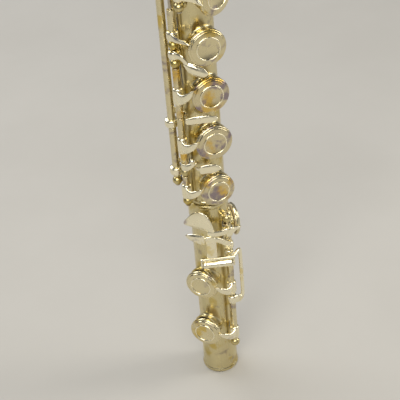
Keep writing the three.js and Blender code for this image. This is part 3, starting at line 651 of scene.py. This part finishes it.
def body_tube():
    bottom = FOOT_LENGTH - FOOT_TENON + 0.3
    ring = TUBE_RADIUS + 0.5
    wall = closed_outline([
        (BORE_RADIUS, bottom, 0.1), (TENON_RADIUS, bottom, 0.1),
        (TENON_RADIUS, FOOT_LENGTH + 0.3, 0.1), (ring, FOOT_LENGTH + 0.3, 0.5),
        (ring, FOOT_LENGTH + 1.9, 0.5), (TUBE_RADIUS, FOOT_LENGTH + 2.4, 0.4),
        (TUBE_RADIUS, BODY_TOP, 0.1), (BORE_RADIUS, BODY_TOP, 0.1),
    ])
    holes = [name for name in HOLES if not name.startswith("foot_")]
    return [hollow_tube(wall, holes)] + [chimney(name) for name in holes]


def barrel():
    bottom, top, radius = BARREL["bottom"], BARREL["top"], BARREL["radius"]
    ring = radius + 0.5
    bore = TUBE_RADIUS + 0.12
    return turned(filleted([
        (bore, bottom), (ring - 0.2, bottom, 0.4), (ring, bottom + 1.1, 0.6),
        (ring - 0.2, bottom + 2.2, 0.4), (radius, bottom + 2.6, 0.3), (radius, bottom + 3.4, 0.2),
        (radius + 0.2, bottom + 3.8, 0.2), (radius, bottom + 4.3, 0.2),
        (radius, top - 4.3, 0.2), (radius + 0.2, top - 3.8, 0.2), (radius, top - 3.4, 0.2),
        (radius, top - 2.6, 0.3), (ring - 0.2, top - 2.2, 0.4), (ring, top - 1.1, 0.6),
        (ring - 0.2, top, 0.4), (SOCKET_RADIUS + 0.05, top),
    ], loop=True), TUBE_ROUND, loop=True)


def head_radius(z):
    """The head's outer radius, which narrows from the barrel to the crown."""
    share = max(0.0, (z - BARREL["top"]) / (HEAD_TOP - BARREL["top"]))
    return TENON_RADIUS + (HEAD_TOP_RADIUS - TENON_RADIUS) * share


def oval_ring(half_x, half_z, height_at, sides=TUBE_ROUND):
    """Points on an oval about the blow hole, at an outward height for each x."""
    angles = np.linspace(0, 2 * math.pi, sides, endpoint=False)
    x, y = half_x * np.cos(angles), half_z * np.sin(angles)
    return np.stack([x, y, height_at(x, y)], 1)


def head_tube():
    heights = [HEAD_TENON_BOTTOM, BARREL["top"], EMBOUCHURE, HEAD_TOP]
    outer = [(head_radius(z), z) for z in heights]
    inner = [(r - HEAD_WALL, z) for r, z in reversed(outer)]
    wall = np.array(outer + inner + outer[:1])
    cutter = rings_to_shape([oval_ring(*BLOW_HOLE, lambda x, y: 0 * x + h, 64) for h in (4, 12)])
    rings = [EMBOUCHURE + d for d in (-9, -7.5, 7.5, 9)]
    return cut_with(turned(with_rings(wall, rings), TUBE_ROUND, loop=True),
                    [on_radius(cutter, 0, EMBOUCHURE)])


def lip_surface(lift):
    """The lip plate's outward height, which falls a little towards its two ends."""
    def height(x, y):
        saddle = 0.6 * (y / LIP_PLATE[1]) ** 2
        radius = 14.0 + lift - saddle
        return np.sqrt(radius**2 - x**2)
    return height


def lip_plate():
    """A curved oval plate with a softened rim and a sharp-edged blow hole."""
    thick = 1.0
    inside = np.array(BLOW_HOLE) + 0.15
    levels = [inside + (np.array(LIP_PLATE) - inside) * share for share in np.linspace(0, 0.97, 9)]
    top = [oval_ring(a, b, lip_surface(0)) for a, b in levels]
    rim = [oval_ring(LIP_PLATE[0] - d, LIP_PLATE[1] - d, lip_surface(lift))
           for d, lift in ((0.1, -0.1), (0.0, -0.35), (0.0, -0.65), (0.15, -0.9))]
    under = [oval_ring(a - 0.3, b - 0.3, lip_surface(-thick)) for a, b in reversed(levels[1:])]
    hole = [oval_ring(*BLOW_HOLE, lip_surface(lift)) for lift in (-thick, -0.2)]
    return on_radius(rings_to_shape(top + rim + under + hole, loop=True), 0, EMBOUCHURE)


def riser():
    """The short chimney between the head tube and the lip plate."""
    wall = 1.4
    tube = head_radius(EMBOUCHURE) + 0.1

    def low(x, y):
        return np.sqrt(tube**2 - x**2)

    high = lip_surface(-1.15)
    a, b = BLOW_HOLE
    rings = [
        oval_ring(a + wall + 0.7, b + wall + 0.7, low),
        oval_ring(a + wall + 0.1, b + wall + 0.1, lambda x, y: low(x, y) + 0.5),
        oval_ring(a + wall, b + wall, lambda x, y: low(x, y) + 1.2),
        oval_ring(a + wall, b + wall, high), oval_ring(a, b, high), oval_ring(a, b, low),
    ]
    return on_radius(rings_to_shape(rings, loop=True), 0, EMBOUCHURE)


def crown():
    """The cap on the head, with a turned groove and room for the stopper's screw."""
    skirt = HEAD_TOP + 0.3
    top = TOTAL_LENGTH
    return turned(filleted([
        (0, top), (4.2, top, 0.6), (4.6, top - 0.5, 0.3), (6.6, top - 0.7, 1.0),
        (8.8, top - 2.6, 1.2), (9.4, top - 4.4, 0.5), (9.1, top - 5.0, 0.2),
        (9.1, top - 5.8, 0.2), (9.4, top - 6.3, 0.3), (9.4, skirt, 0.3), (8, skirt, 0.1),
        (8, skirt - 5, 0.1), (2.9, skirt - 5), (2.9, SCREW_ROOF), (0, SCREW_ROOF),
    ]), TUBE_ROUND)


# Tubes and what is on the head: (piece, shapes, body, node, metal).
TUBES = [
    ("fine_foot_tube", foot_tube(), "foot", "foot_tube", SHADED_TUBE_METAL),
    ("fine_body_tube", body_tube(), "body", "body_tube", SHADED_TUBE_METAL),
    ("fine_barrel", [barrel()], "body", "barrel", HEAD_METAL),
    ("fine_head_tube", [head_tube()], "head", "head_tube", HEAD_METAL),
    ("fine_lip_plate", [lip_plate()], "head", "lip_plate", HEAD_METAL),
    ("fine_riser", [riser()], "head", "embouchure_riser", HEAD_METAL),
    ("fine_crown", [crown()], "crown", "crown", HEAD_METAL),
]
for name, shapes, body, node, metal in TUBES:
    make(name, shapes, body, [node], metal)


# ---- Posts, ribs and steels ----

MAIN = line_of("e_key_hinge")
G_STEEL = line_of("g_key_hinge")
BACK_STEEL = line_of("g_sharp_key_hinge")
TRILL_STEEL = line_of("d_trill_key_hinge")
FOOT_STEEL = line_of("foot_c_hinge")


def phi_of(line):
    """The angle of a hinge's line around the tube."""
    return math.degrees(math.atan2(line[0], -line[1]))


def strap_round(phi, half, inner, outer, bottom, top, end=2.2):
    """A strip soldered along the tube, with rounded ends and softened edges."""
    levels = []
    for inset, radius in ((0.0, inner), (0.0, outer - 0.2), (0.12, outer - 0.06), (0.3, outer)):
        side, low, high = half - inset, bottom + inset, top - inset
        corners = [(-side, low, end), (side, low, end), (side, high, end), (-side, high, end)]
        outline = filleted(corners, loop=True, steps=6)
        levels.append([polar(phi + math.degrees(x / radius), radius, z) for x, z in outline])
    return rings_to_shape([np.array(level) for level in levels])


def post(line, z, seat):
    """A turned post: a flared foot, a waisted stem and a ball on the steel's line."""
    reach = float(np.hypot(*line))
    outline = filleted([
        (0, seat - 0.3), (2.3, seat - 0.3), (2.3, seat + 0.1, 0.2), (1.5, seat + 0.55, 0.4),
        (1.05, seat + 1.1, 0.5), (1.2, reach - 2.3, 0.3),
    ])
    ball = [(POST_BALL * math.sin(a), reach - POST_BALL * math.cos(a))
            for a in np.linspace(math.radians(32), math.pi, 16)]
    return on_radius(turned(np.vstack([outline, ball]), 32), phi_of(line), z)


def screw_end(line, z, way, radius=1.35):
    """The slotted head of a steel, seen in the end of its post."""
    edge = [(0, 0), (radius, 0), (radius, 0.5, 0.2), (radius - 0.25, 0.75, 0.2), (0, 0.75)]
    head = turned(filleted(edge), 28)
    slot = np.array([[x, y, h] for h in (0.35, 1.5) for x, y in
                     ((-2, -0.18), (2, -0.18), (2, 0.18), (-2, 0.18))])
    block = (slot, [[0, 3, 2, 1], [4, 5, 6, 7], [0, 1, 5, 4], [1, 2, 6, 5], [2, 3, 7, 6],
                    [3, 0, 4, 7]])
    v, f = cut_with(head, [block])
    v = v.copy()
    v[:, 2] *= way
    return moved((v, f), (line[0], line[1], z))


def rib(line, bottom, top, posts):
    """A strap along the tube with posts on it."""
    strap = strap_round(phi_of(line), RIB["half_width"], RIB["under"], RIB["top"], bottom, top)
    return [strap] + [post(line, z, RIB["top"]) for z in posts]


def steel(line, bottom, top, screws):
    """A hinge's pin. screws has -1 for a slotted head at its bottom and 1 at its top."""
    outline = filleted([(0, bottom), (STEEL_RADIUS, bottom, 0.2), (STEEL_RADIUS, top, 0.2),
                        (0, top)])
    ends = [screw_end(line, bottom + 0.1 if side < 0 else top - 0.1, side) for side in screws]
    return [on_line(turned(outline, 24), line), *ends]


# Ribs on the body: (node, line, bottom, top, the posts' heights).
RIBS = [
    ("lower_rib", MAIN, 125.8, 147.4, (127, 145.3)),
    ("middle_rib", MAIN, 205, 236, (209.2, 219.2)),
    ("upper_rib", MAIN, 272, 372, (276, 318.5, 368.5)),
    ("g_rib", G_STEEL, 238, 283, (240.4, 280)),
    ("back_rib", BACK_STEEL, 233, 347.5, (236, 262, 284, 344.5)),
    ("trill_rib", TRILL_STEEL, 133, 407.4, (136, 404.6)),
]
for name, line, bottom, top, posts in RIBS:
    make("fine_" + name, rib(line, bottom, top, posts), "body", [name], RIB_METAL)
make("fine_foot_lower_rib", rib(FOOT_STEEL, 20.6, 28, (24,)), "foot", ["foot_lower_rib"],
     RIB_METAL)
UPPER_POST = strap_round(phi_of(FOOT_STEEL), 2.4, 10.95, 12, 111, 117)
make("fine_foot_upper_post", [UPPER_POST, post(FOOT_STEEL, 114, 12)], "foot",
     ["foot_upper_post"], RIB_METAL)

# Steels: (node, line, bottom, top, ends that show a screw).
STEELS = [
    ("right_hand_steel", MAIN, 124.4, 209, (-1,)),
    ("left_hand_steel", MAIN, 209.4, 371.4, (1,)),
    ("g_steel", G_STEEL, 238, 282.4, (-1, 1)),
    ("back_steel", BACK_STEEL, 233.6, 346.9, (-1, 1)),
    ("trill_steel", TRILL_STEEL, 133.6, 406.4, (-1, 1)),
    ("foot_steel", FOOT_STEEL, 22, 116, (-1, 1)),
]
BODY_OF = {node: body for body, nodes in frame["record"]["behaviour"]["bodies"].items()
           for node in nodes}
for name, line, bottom, top, screws in STEELS:
    make("fine_" + name, steel(line, bottom, top, screws), BODY_OF[name], [name],
         STEEL_METAL)


# ---- Keys ----


def cup_radius(radius):
    """The radius of the cup over a tone hole."""
    return radius + CUP_OVERHANG["small" if radius < SMALL_HOLE else "large"]


def cup(hole):
    """A pad cup: a turned shell with a stepped edge and a dished middle."""
    z, phi, radius = HOLES[hole]
    edge = cup_radius(radius)
    inner = edge - 0.7
    if radius < SMALL_HOLE:
        top = [(edge, 14.3, 0.5), (edge - 0.7, 14.9, 0.4), (edge * 0.62, 15.35, 0.6),
               (edge * 0.3, 15.5, 0.5), (0, 15.55)]
    else:
        middle = edge * RING_SHARE
        top = [
            (edge, 14.0, 0.35), (edge - 0.35, 14.4, 0.25), (edge - 0.9, 14.5, 0.15),
            (edge - 1.0, 14.95, 0.25), (edge - 1.4, 15.15, 0.3), (middle, 15.4, 0.2),
            (middle - 0.5, 15.2, 0.2), (middle * 0.6, 14.8, 0.8), (middle * 0.3, 14.62, 0.6),
            (0, 14.56),
        ]
    outline = filleted([(0, CUP_ROOF), (inner, CUP_ROOF, 0.2), (inner, CUP_FLOOR, 0.15),
                        (edge, CUP_FLOOR, 0.25), *top])
    return on_radius(turned(outline), phi, z)


def cup_ring(hole):
    """The raised ring on a cup, lighter than the rest of it: partly rubbed bright, partly a painted highlight."""
    z, phi, radius = HOLES[hole]
    middle = cup_radius(radius) * RING_SHARE
    section = [(middle + 0.36 * math.cos(a), 15.5 + 0.3 * math.sin(a))
               for a in np.linspace(0, 2 * math.pi, 12, endpoint=False)]
    return on_radius(turned(section, loop=True), phi, z)


def pad(hole):
    """A skin-covered felt pad, a little hollow at its middle and round at its edge."""
    z, phi, radius = HOLES[hole]
    edge = cup_radius(radius) - 0.95
    outline = filleted([(0, 12.5), (edge * 0.5, 12.45, 0.4), (edge - 1.3, 12.32, 0.5),
                        (edge - 0.5, 12.3, 0.4), (edge, 12.7, 0.4), (edge, PAD_TOP, 0.1),
                        (0, PAD_TOP)])
    return on_radius(turned(outline, 64), phi, z)


def hinge(line, bottom, top, radius=HINGE_RADIUS):
    """A hinge tube with turned ends."""
    outline = [
        (HINGE_BORE, bottom, 0.1), (radius - 0.12, bottom, 0.15), (radius, bottom + 0.3, 0.1),
        (radius, top - 0.3, 0.1), (radius - 0.12, top, 0.15), (HINGE_BORE, top, 0.1),
    ]
    return on_line(turned(filleted(outline, loop=True, steps=3), 36, loop=True), line)


def collar(line, middle, width, radius=SLEEVE_RADIUS, inner=HINGE_RADIUS):
    """A rounded ring on a hinge tube, where an arm leaves it."""
    low, high = middle - width / 2, middle + width / 2
    outline = [
        (inner - 0.3, low - 0.3), (inner + 0.1, low - 0.3, 0.2), (radius - 0.3, low, 0.3),
        (radius, low + 0.8, 0.6), (radius, high - 0.8, 0.6), (radius - 0.3, high, 0.3),
        (inner + 0.1, high + 0.3, 0.2), (inner - 0.3, high + 0.3),
    ]
    return on_line(turned(filleted(outline, loop=True, steps=3), 36, loop=True), line)


def cup_arm(hole, line, start, tip, width=ARM_WIDTH, over=0.4):
    """The arm leaves its collar wide, rises along the side of the cup and ends in a point
    on its edge. start and tip are its heights along the tube at its two ends."""
    z, phi, radius = HOLES[hole]
    between = math.radians(phi_of(line) - phi)
    side = math.copysign(1, math.sin(between))
    reach = float(np.hypot(*line))
    x0, h0 = reach * math.sin(between), reach * math.cos(between)
    edge = cup_radius(radius)
    rise = tip - start
    stations = [
        (x0 + side * 0.9, h0 + 0.2, start, width, 2.0),
        (x0 + side * 0.7, h0 + 0.42 * (12.4 - h0), start + rise * 0.04, width * 0.76, 1.8),
        (x0 - side * 0.5, h0 + 0.76 * (12.4 - h0), start + rise * 0.2, width * 0.52, 1.7),
        (side * (edge + 1.1), 12.6, start + rise * 0.52, width * 0.38, 1.6),
        (side * (edge + 0.3), 14.2, start + rise * 0.82, width * 0.22, 1.3),
        (side * (edge - over), 15.3, tip, 0.4, 0.4),
    ]
    placed = []
    for x, h, height, wide, thick in stations:
        out = polar(phi + 90, 1) * x + polar(phi, 1) * h
        placed.append((out[0], out[1], height, wide, thick))
    return swept(placed)


def key_piece(name, shapes, worn_and_highlit, line, lift, metal=KEY_METAL):
    """A key in two pieces: its cups and tubes, and what fingers and cloths rub bright, made
    lighter still as a painted highlight.
    """
    for prefix, kind, nodes, look in (("fine_", shapes, [name], metal),
                                      ("worn_and_highlit_", worn_and_highlit, [], WORN_AND_HIGHLIT_METAL)):
        placed = [turned_about(shape, line, lift) for shape in kind]
        make(prefix + name, placed, BODY_OF[name], nodes, look)


def pad_node(hole):
    """The CAD name of a hole's pad."""
    key = hole.removeprefix("foot_")
    return key + ("_pad" if key == hole else "_foot_pad")


def pad_piece(hole, line, lift):
    """The pad under a cup and, on a large cup, the ring on top of it."""
    node = pad_node(hole)
    piece = make("fine_" + node, [turned_about(pad(hole), line, lift)], BODY_OF[node], [node],
                 PAD_SKIN)
    # The ring is in the lighter metal: partly rubbed bright, partly a painted highlight.
    if HOLES[hole][2] > SMALL_HOLE:
        make("ring_" + hole, [turned_about(cup_ring(hole), line, lift)], BODY_OF[node], [],
             WORN_AND_HIGHLIT_METAL)


def covering_key(name, holes, tube, worn_and_highlit, line, lift, metal=KEY_METAL):
    """A key with a cup and a pad over each of its holes. tube is hinge()'s bottom and top."""
    cups = [cup(hole) for hole in holes]
    key_piece(name, [*cups, hinge(line, *tube)], worn_and_highlit, line, lift, metal)
    for hole in holes:
        pad_piece(hole, line, lift)


# Right hand: (key, tube's bottom and top, the arm's start, tip and width).
RIGHT_HAND = [
    ("d", 129.5, 142.8, 133.2, 139.6, 8.2),
    ("e", 147.9, 178.2, 161.9, 168.5, 8.8),
    ("f", 178.5, 206.6, 190.9, 198.4, 8.8),
]


def ball_at(phi, reach, z, radius):
    """A ball at an angle, a distance from the tube's axis and a height."""
    arc = [(radius * math.sin(a), reach - radius * math.cos(a))
           for a in np.linspace(0, math.pi, 14)]
    return on_radius(turned(arc, 28), phi, z)


def adjusting_lug():
    """A curved finger with a round-headed screw, which passes the E key's motion on."""
    finger = bar([(-80, 14, 149.4), (-71, 16.1, 149.8), (-58, 16.6, 151.2), (-49, 16.1, 153),
                  (-40, 15.2, 154.6)], (5.6, 4.6, 3.6, 2.7, 0.8), 1.5)
    knob = bar([(-54, 15.6, 151.6), (-48, 16, 154), (-45, 16.2, 156)], (2, 1.8, 1.6), 1.4)
    return [finger, knob, ball_at(-45, 16.8, 156.4, 1.4)]


for name, low, high, start, tip, width in RIGHT_HAND:
    worn_and_highlit = [cup_arm(name, MAIN, start, tip, width), collar(MAIN, start, width)]
    if name == "e":
        worn_and_highlit += adjusting_lug()
    covering_key(name + "_key", [name], (low, high), worn_and_highlit, MAIN, OPEN_LEFT, TARNISH_AND_REFLECTION_METAL)

covering_key("f_sharp_key", ["f_sharp"], (221.8, 238), [
    cup_arm("f_sharp", MAIN, 224.4, 223.6, 5), collar(MAIN, 224.4, 4.4, 3.1),
], MAIN, OPEN_LEFT)

# Left hand: (key, tube's bottom and top, the arm's start and tip).
LEFT_HAND = [
    ("a", 278.6, 297.4, 285.6, 292.4),
    ("a_sharp", 297.7, 315.9, 306.4, 313),
]
for name, low, high, start, tip in LEFT_HAND:
    covering_key(name + "_key", [name], (low, high), [
        cup_arm(name, MAIN, start, tip, 7.8), collar(MAIN, start, 7.8),
    ], MAIN, OPEN_LEFT)


def index_touch():
    """The round, dished plate under the left forefinger."""
    edge = 7.4
    outline = filleted([(0, 14.1), (edge - 0.4, 14.1, 0.2), (edge, 14.6, 0.3),
                        (edge - 0.2, 15.3, 0.3), (edge - 1.2, 15.5, 0.4), (edge * 0.5, 15.05, 1.5),
                        (0, 14.9)])
    disc = on_radius(turned(outline), 0, 331)
    arm = bar([(-78, 14.6, 330), (-64, 15.4, 330.2), (-47, 15.6, 330.6), (-30, 15.2, 331),
               (-18, 14.7, 331)], (5.4, 4.8, 4.2, 3.8, 3), 1.5)
    return [disc, arm, collar(MAIN, 330, 5.4)]


covering_key("c_key", ["c_sharp"], (321.1, 365.9), [
    cup_arm("c_sharp", MAIN, 361.6, 364, SMALL_ARM_WIDTH, over=0.8), collar(MAIN, 361.6, 4.4),
    *index_touch(),
], MAIN, OPEN_LEFT)

key_piece("b_flat_lever", [hinge(MAIN, 211.7, 216.7)], [
    touch([(-5.8, 211.6), (-5, 208.8), (-3, 206), (0.4, 204.2), (3.6, 204), (5.8, 205.6),
           (4.2, 208.4), (0.8, 210.7), (-2.8, 212)], -26, 13.6, 14.4, crown=1.1),
    bar([(-79, 14.4, 214.4), (-66, 15.1, 214.8), (-54, 15.3, 215), (-47, 15, 213.2),
         (-43, 14.5, 210.8), (-38, 14.2, 209.2)], (5.2, 4, 3, 2.6, 2.6, 3), 1.4),
    collar(MAIN, 214.2, 3.8, 3.2),
], MAIN, OPEN_LEFT)

covering_key("g_key", ["g_lower", "g_upper"], (243, 277.4), [
    cup_arm("g_lower", G_STEEL, 247.6, 243), collar(G_STEEL, 247.6, ARM_WIDTH),
    cup_arm("g_upper", G_STEEL, 264, 270.4), collar(G_STEEL, 264, ARM_WIDTH),
], G_STEEL, OPEN_LEFT)

covering_key("g_sharp_key", ["g_sharp"], (238.6, 259.4), [
    cup_arm("g_sharp", BACK_STEEL, 244.6, 250), collar(BACK_STEEL, 245.6, 8.4),
    touch([(-2.8, 238.2), (0, 236.8), (2.6, 238), (3.2, 248), (2.6, 258.4), (0, 259.4),
           (-2.8, 257.4)], 74, 15.3, 16.5),
    bar([(106, 14.9, 247), (97, 16.2, 247.4), (86, 16.5, 247.6), (79, 15.9, 247.8)],
        (5.6, 5, 4.6, 4.4), 1.4),
], BACK_STEEL, CLOSED)


def thumb_touch(low, high):
    """A thumb plate, its arm and its collar."""
    middle = (low + high) / 2
    plate = touch([(-5.6, low + 1.4), (0, low + 0.2), (5.4, low + 1.4), (5.9, middle),
                   (5.4, high - 1.4), (0, high - 0.2), (-5.6, high - 1.4), (-6, middle)],
                  BACK_LINE, 14.2, 15.5)
    arm = bar([(103, 15, middle), (113, 16.3, middle), (136, 16.3, middle), (158, 15.4, middle)],
              (4.8, 4.2, 4, 3.6), 1.4)
    return [plate, arm, collar(BACK_STEEL, middle, 5)]


covering_key("b_thumb_key", ["thumb"], (306.8, 341.9), [
    cup_arm("thumb", BACK_STEEL, 327, 332.4), collar(BACK_STEEL, 327, ARM_WIDTH),
    *thumb_touch(307.4, 318.6),
], BACK_STEEL, OPEN_LEFT)
key_piece("b_flat_thumb_key", [hinge(BACK_STEEL, 286.6, 306.5)], thumb_touch(291, 305.6),
          BACK_STEEL, OPEN_LEFT)


# ---- Trill keys ----


def trill_touch(low, high, left, right, arm_height, arm_width, rise):
    """A drop-shaped plate on a thin arm that passes under the main steel."""
    middle = (low + high) / 2
    plate = touch([(left + 0.6, low + 0.7), ((left + 4) / 2, low), (4, low + 0.5), (right, middle),
                   (4, high - 0.4), ((left + 4) / 2, high), (left + 0.6, high - 0.9),
                   (left, middle)], -24, 14.4, 15.4, crown=0.4)
    path = [(-109, 14.3), (-98, 12.3), (-88, 11.55), (-76.5, 11.35), *rise]
    widths = np.interp(range(len(path)), (0, 3, len(path) - 1),
                       (arm_width + 0.6, arm_width, arm_width + 0.2))
    return [plate, bar([(phi, reach, arm_height) for phi, reach in path], widths, 0.75)]


def trill_collar(middle, width, radius):
    """A collar on the thicker tubes of the trill keys."""
    return collar(TRILL_STEEL, middle, width, radius, TRILL_HINGE_RADIUS)


covering_key("d_trill_key", ["d_trill"], (169.4, 388, TRILL_HINGE_RADIUS), [
    cup_arm("d_trill", TRILL_STEEL, 381.4, 382.6, SMALL_ARM_WIDTH, over=1.2),
    trill_collar(381.4, SMALL_ARM_WIDTH, 2.7),
    trill_collar(172, 3.8, 3.6),
    *trill_touch(177, 181.9, -8.8, 7.6, 179.2, 3.2, [(-66, 12), (-57, 14.4), (-50, 16.5)]),
], TRILL_STEEL, CLOSED)
key_piece("d_sharp_trill_touch", [hinge(TRILL_STEEL, 139, 169.1, TRILL_HINGE_RADIUS)], [
    trill_collar(142.6, 4, 3.5),
    *trill_touch(146.4, 152.4, -4, 7.4, 148.7, 2.1,
                 [(-64, 11.6), (-52, 12.5), (-42, 13.8), (-32, 15.2)]),
], TRILL_STEEL, CLOSED)
covering_key("d_sharp_trill_key", ["d_sharp_trill"], (388.6, 401.9, TRILL_HINGE_RADIUS), [
    cup_arm("d_sharp_trill", TRILL_STEEL, 397.6, 399.4, SMALL_ARM_WIDTH, over=1.2),
    trill_collar(397.6, SMALL_ARM_WIDTH, 2.7),
], TRILL_STEEL, CLOSED)


# ---- Foot keys ----

# The roller's line is square to the angle phi, and its middle is offset along that line.
ROLLER = {"phi": -34.5, "distance": 14.3, "offset": 3.7, "z": 87.6, "length": 16.4}
ROLLER_END = ROLLER["length"] / 2
RAIL_HEIGHT = 91.1


def by_roller(shape):
    """Local x runs along the roller from its middle, y up the tube and z outwards."""
    v, f = shape
    return on_radius((v + (ROLLER["offset"], 0, ROLLER["distance"]), f), ROLLER["phi"],
                     ROLLER["z"])


def roller_turned(outline):
    """Turned about the roller's line."""
    v, f = turned(filleted(outline), 40)
    return by_roller((v[:, [2, 1, 0]], f))


def roller_ear(side):
    """A plate at one end of the roller that hangs its pin from the rail."""
    v, f = touch([(-1.1, -1.5), (1.1, -1.5), (1.6, 0.6), (1, 4.2), (-1, 4.2), (-1.6, 0.6)], 0,
                 -0.4, 0.4, crown=0.05, edge=0.25)
    return by_roller((np.column_stack([side * (ROLLER_END + 0.7) - v[:, 1], v[:, 2], v[:, 0]]),
                      f))


def roller_rail():
    """The bar above the roller."""
    reach = ROLLER_END + 0.9
    outline = filleted([(-0.85, -0.8, 0.4), (0.85, -0.8, 0.4), (0.85, 0.8, 0.4),
                        (-0.85, 0.8, 0.4)], loop=True)
    rings = [np.column_stack([np.full(len(outline), x), outline]) for x in (-reach, reach)]
    v, f = rings_to_shape(rings)
    return by_roller((v + (0, RAIL_HEIGHT - ROLLER["z"], 0), f))


# The C key's arm to the roller, around the outside: (phi, radius, z, width).
BRACKET = [
    (15, 15.0, 57.1, 5.2), (21, 16.9, 57.0, 5.0), (28, 18.0, 57.4, 4.2), (31.5, 18.4, 61, 3.0),
    (31, 18.4, 72, 2.6), (30.3, 18.4, 84, 2.6), (29, 18.4, 89.6, 2.8), (24, 18.3, 91.6, 2.6),
    (15, 18.2, 91.5, 2.2), (6.5, 18.6, 91.2, 1.8),
]

covering_key("c_foot_key", ["foot_c"], (26.6, 60), [
    cup_arm("foot_c", FOOT_STEEL, 32.2, 38.6, 7.8), collar(FOOT_STEEL, 32.2, 7.4),
    collar(FOOT_STEEL, 57, 4.8),
    bar([p[:3] for p in BRACKET], [p[3] for p in BRACKET], 1.8, square=2.6),
    roller_rail(), roller_ear(-1), roller_ear(1),
], FOOT_STEEL, OPEN_RIGHT)
PIN_END = ROLLER_END + 1.3
PIN = roller_turned([(0, -PIN_END), (0.8, -PIN_END, 0.3), (0.8, PIN_END, 0.3), (0, PIN_END)])
make("fine_roller_pin", [turned_about(PIN, FOOT_STEEL, OPEN_RIGHT)], "foot_c", ["roller_pin"],
     STEEL_METAL)
ROLL = roller_turned([
    (0, -ROLLER_END), (1.9, -ROLLER_END, 0.3), (2.3, 0.7 - ROLLER_END, 0.4),
    (2.3, 1.6 - ROLLER_END, 0.2), (2.15, 1.9 - ROLLER_END, 0.1), (2.15, ROLLER_END - 1.9, 0.1),
    (2.3, ROLLER_END - 1.6, 0.2), (2.3, ROLLER_END - 0.7, 0.4), (1.9, ROLLER_END, 0.3),
    (0, ROLLER_END),
])
# The roller is in the lighter metal: partly rubbed bright, partly a painted highlight.
make("fine_roller", [turned_about(ROLL, FOOT_STEEL, OPEN_RIGHT)], "roller", ["c_roller"],
     WORN_AND_HIGHLIT_METAL)

covering_key("c_sharp_foot_key", ["foot_c_sharp"], (60.4, 101), [
    cup_arm("foot_c_sharp", FOOT_STEEL, 66, 73, 7.8), collar(FOOT_STEEL, 66, 7.4),
    collar(FOOT_STEEL, 91.2, 2.4, 2.5), collar(FOOT_STEEL, 96.2, 4),
    touch([(-2.8, 93.2, 0.8), (2.8, 92.6, 0.8), (2.8, 106, 1.4), (1.2, 107.4, 1.2),
           (-2.8, 107.8, 0.8)], -31.5, 15.4, 16.3, crown=0.3, edge=0.5, smooth=False),
    touch([(-6, 106.8, 0.5), (-4.2, 104.6, 1.2), (-0.6, 103.2, 2), (3.2, 102.6, 2),
           (5.3, 103, 0.4), (5.3, 108.9, 0.4), (1, 108.8, 2), (-4, 108, 1)], -62.5, 15.2, 16.1,
          crown=0.5, smooth=False),
    bar([(16, 14.6, 95.8), (8, 15.9, 97.8), (-4, 16.2, 101.2), (-16, 16.1, 104.2),
         (-26, 15.9, 105.4)], (4.2, 3.6, 3, 3, 3), 1.4),
    bar([(-36, 15.7, 105.4), (-50, 15.6, 105.8)], (2.6, 2.6), 1.0),
], FOOT_STEEL, OPEN_RIGHT)

covering_key("d_sharp_foot_key", ["foot_d_sharp"], (101.3, 110.7), [
    cup_arm("foot_d_sharp", FOOT_STEEL, 105.4, 104, 5.6), collar(FOOT_STEEL, 105.6, 5.6, 3),
    touch([(-9, 113.8), (-6.3, 118.2), (-2.8, 121.6), (0.6, 122.7), (4, 121), (6.6, 116.4),
           (7.9, 111), (6.6, 109.6), (3, 110.5), (-1.2, 111.4), (-5, 112.2)], -48, 15.4, 16.2,
          crown=0.9),
    bar([(17, 14.8, 106.4), (3, 16.2, 107.6), (-10, 16.9, 108.4), (-24, 17.2, 109),
         (-32, 16.8, 109.6)], (4.6, 4, 3.6, 3.6, 3.4), 1.4),
], FOOT_STEEL, CLOSED)


# ---- Springs ----


def spring(line, post_z, length, toward):
    """A needle spring: a tapered wire from its post, beside the hinge tube."""
    phi = phi_of(line)
    reach = float(np.hypot(*line))
    points = []
    for share in np.linspace(0, 1, 6):
        bow = 0.9 * math.sin(share * math.pi * 0.5)
        p = polar(phi + toward * (6 + 2 * bow), reach - 1.9 - 0.3 * share,
                  post_z + length * share)
        width = 0.56 - 0.26 * share
        points.append((*p, width, width))
    return swept(points, steps=2, sides=10, square=2)


# Springs on the body: (line, post's height, length, side of the line).
BODY_SPRINGS = [
    (MAIN, 145.3, 15, 1), (MAIN, 209.2, -14, 1), (MAIN, 219.2, 14, 1), (MAIN, 276, 14, 1),
    (MAIN, 318.5, -13, 1), (MAIN, 318.5, 15, 1), (G_STEEL, 280, -14, -1),
    (BACK_STEEL, 262, -13, 1), (BACK_STEEL, 284, 13, 1), (BACK_STEEL, 344.5, -14, 1),
    (TRILL_STEEL, 404.6, -12, 1), (TRILL_STEEL, 136, 11, 1),
]
make("body_springs", [spring(*s) for s in BODY_SPRINGS], "body", [], SPRING_METAL)
make("foot_springs", [spring(FOOT_STEEL, 24, 15, -1), spring(FOOT_STEEL, 114, -15, -1)], "foot",
     [], SPRING_METAL)
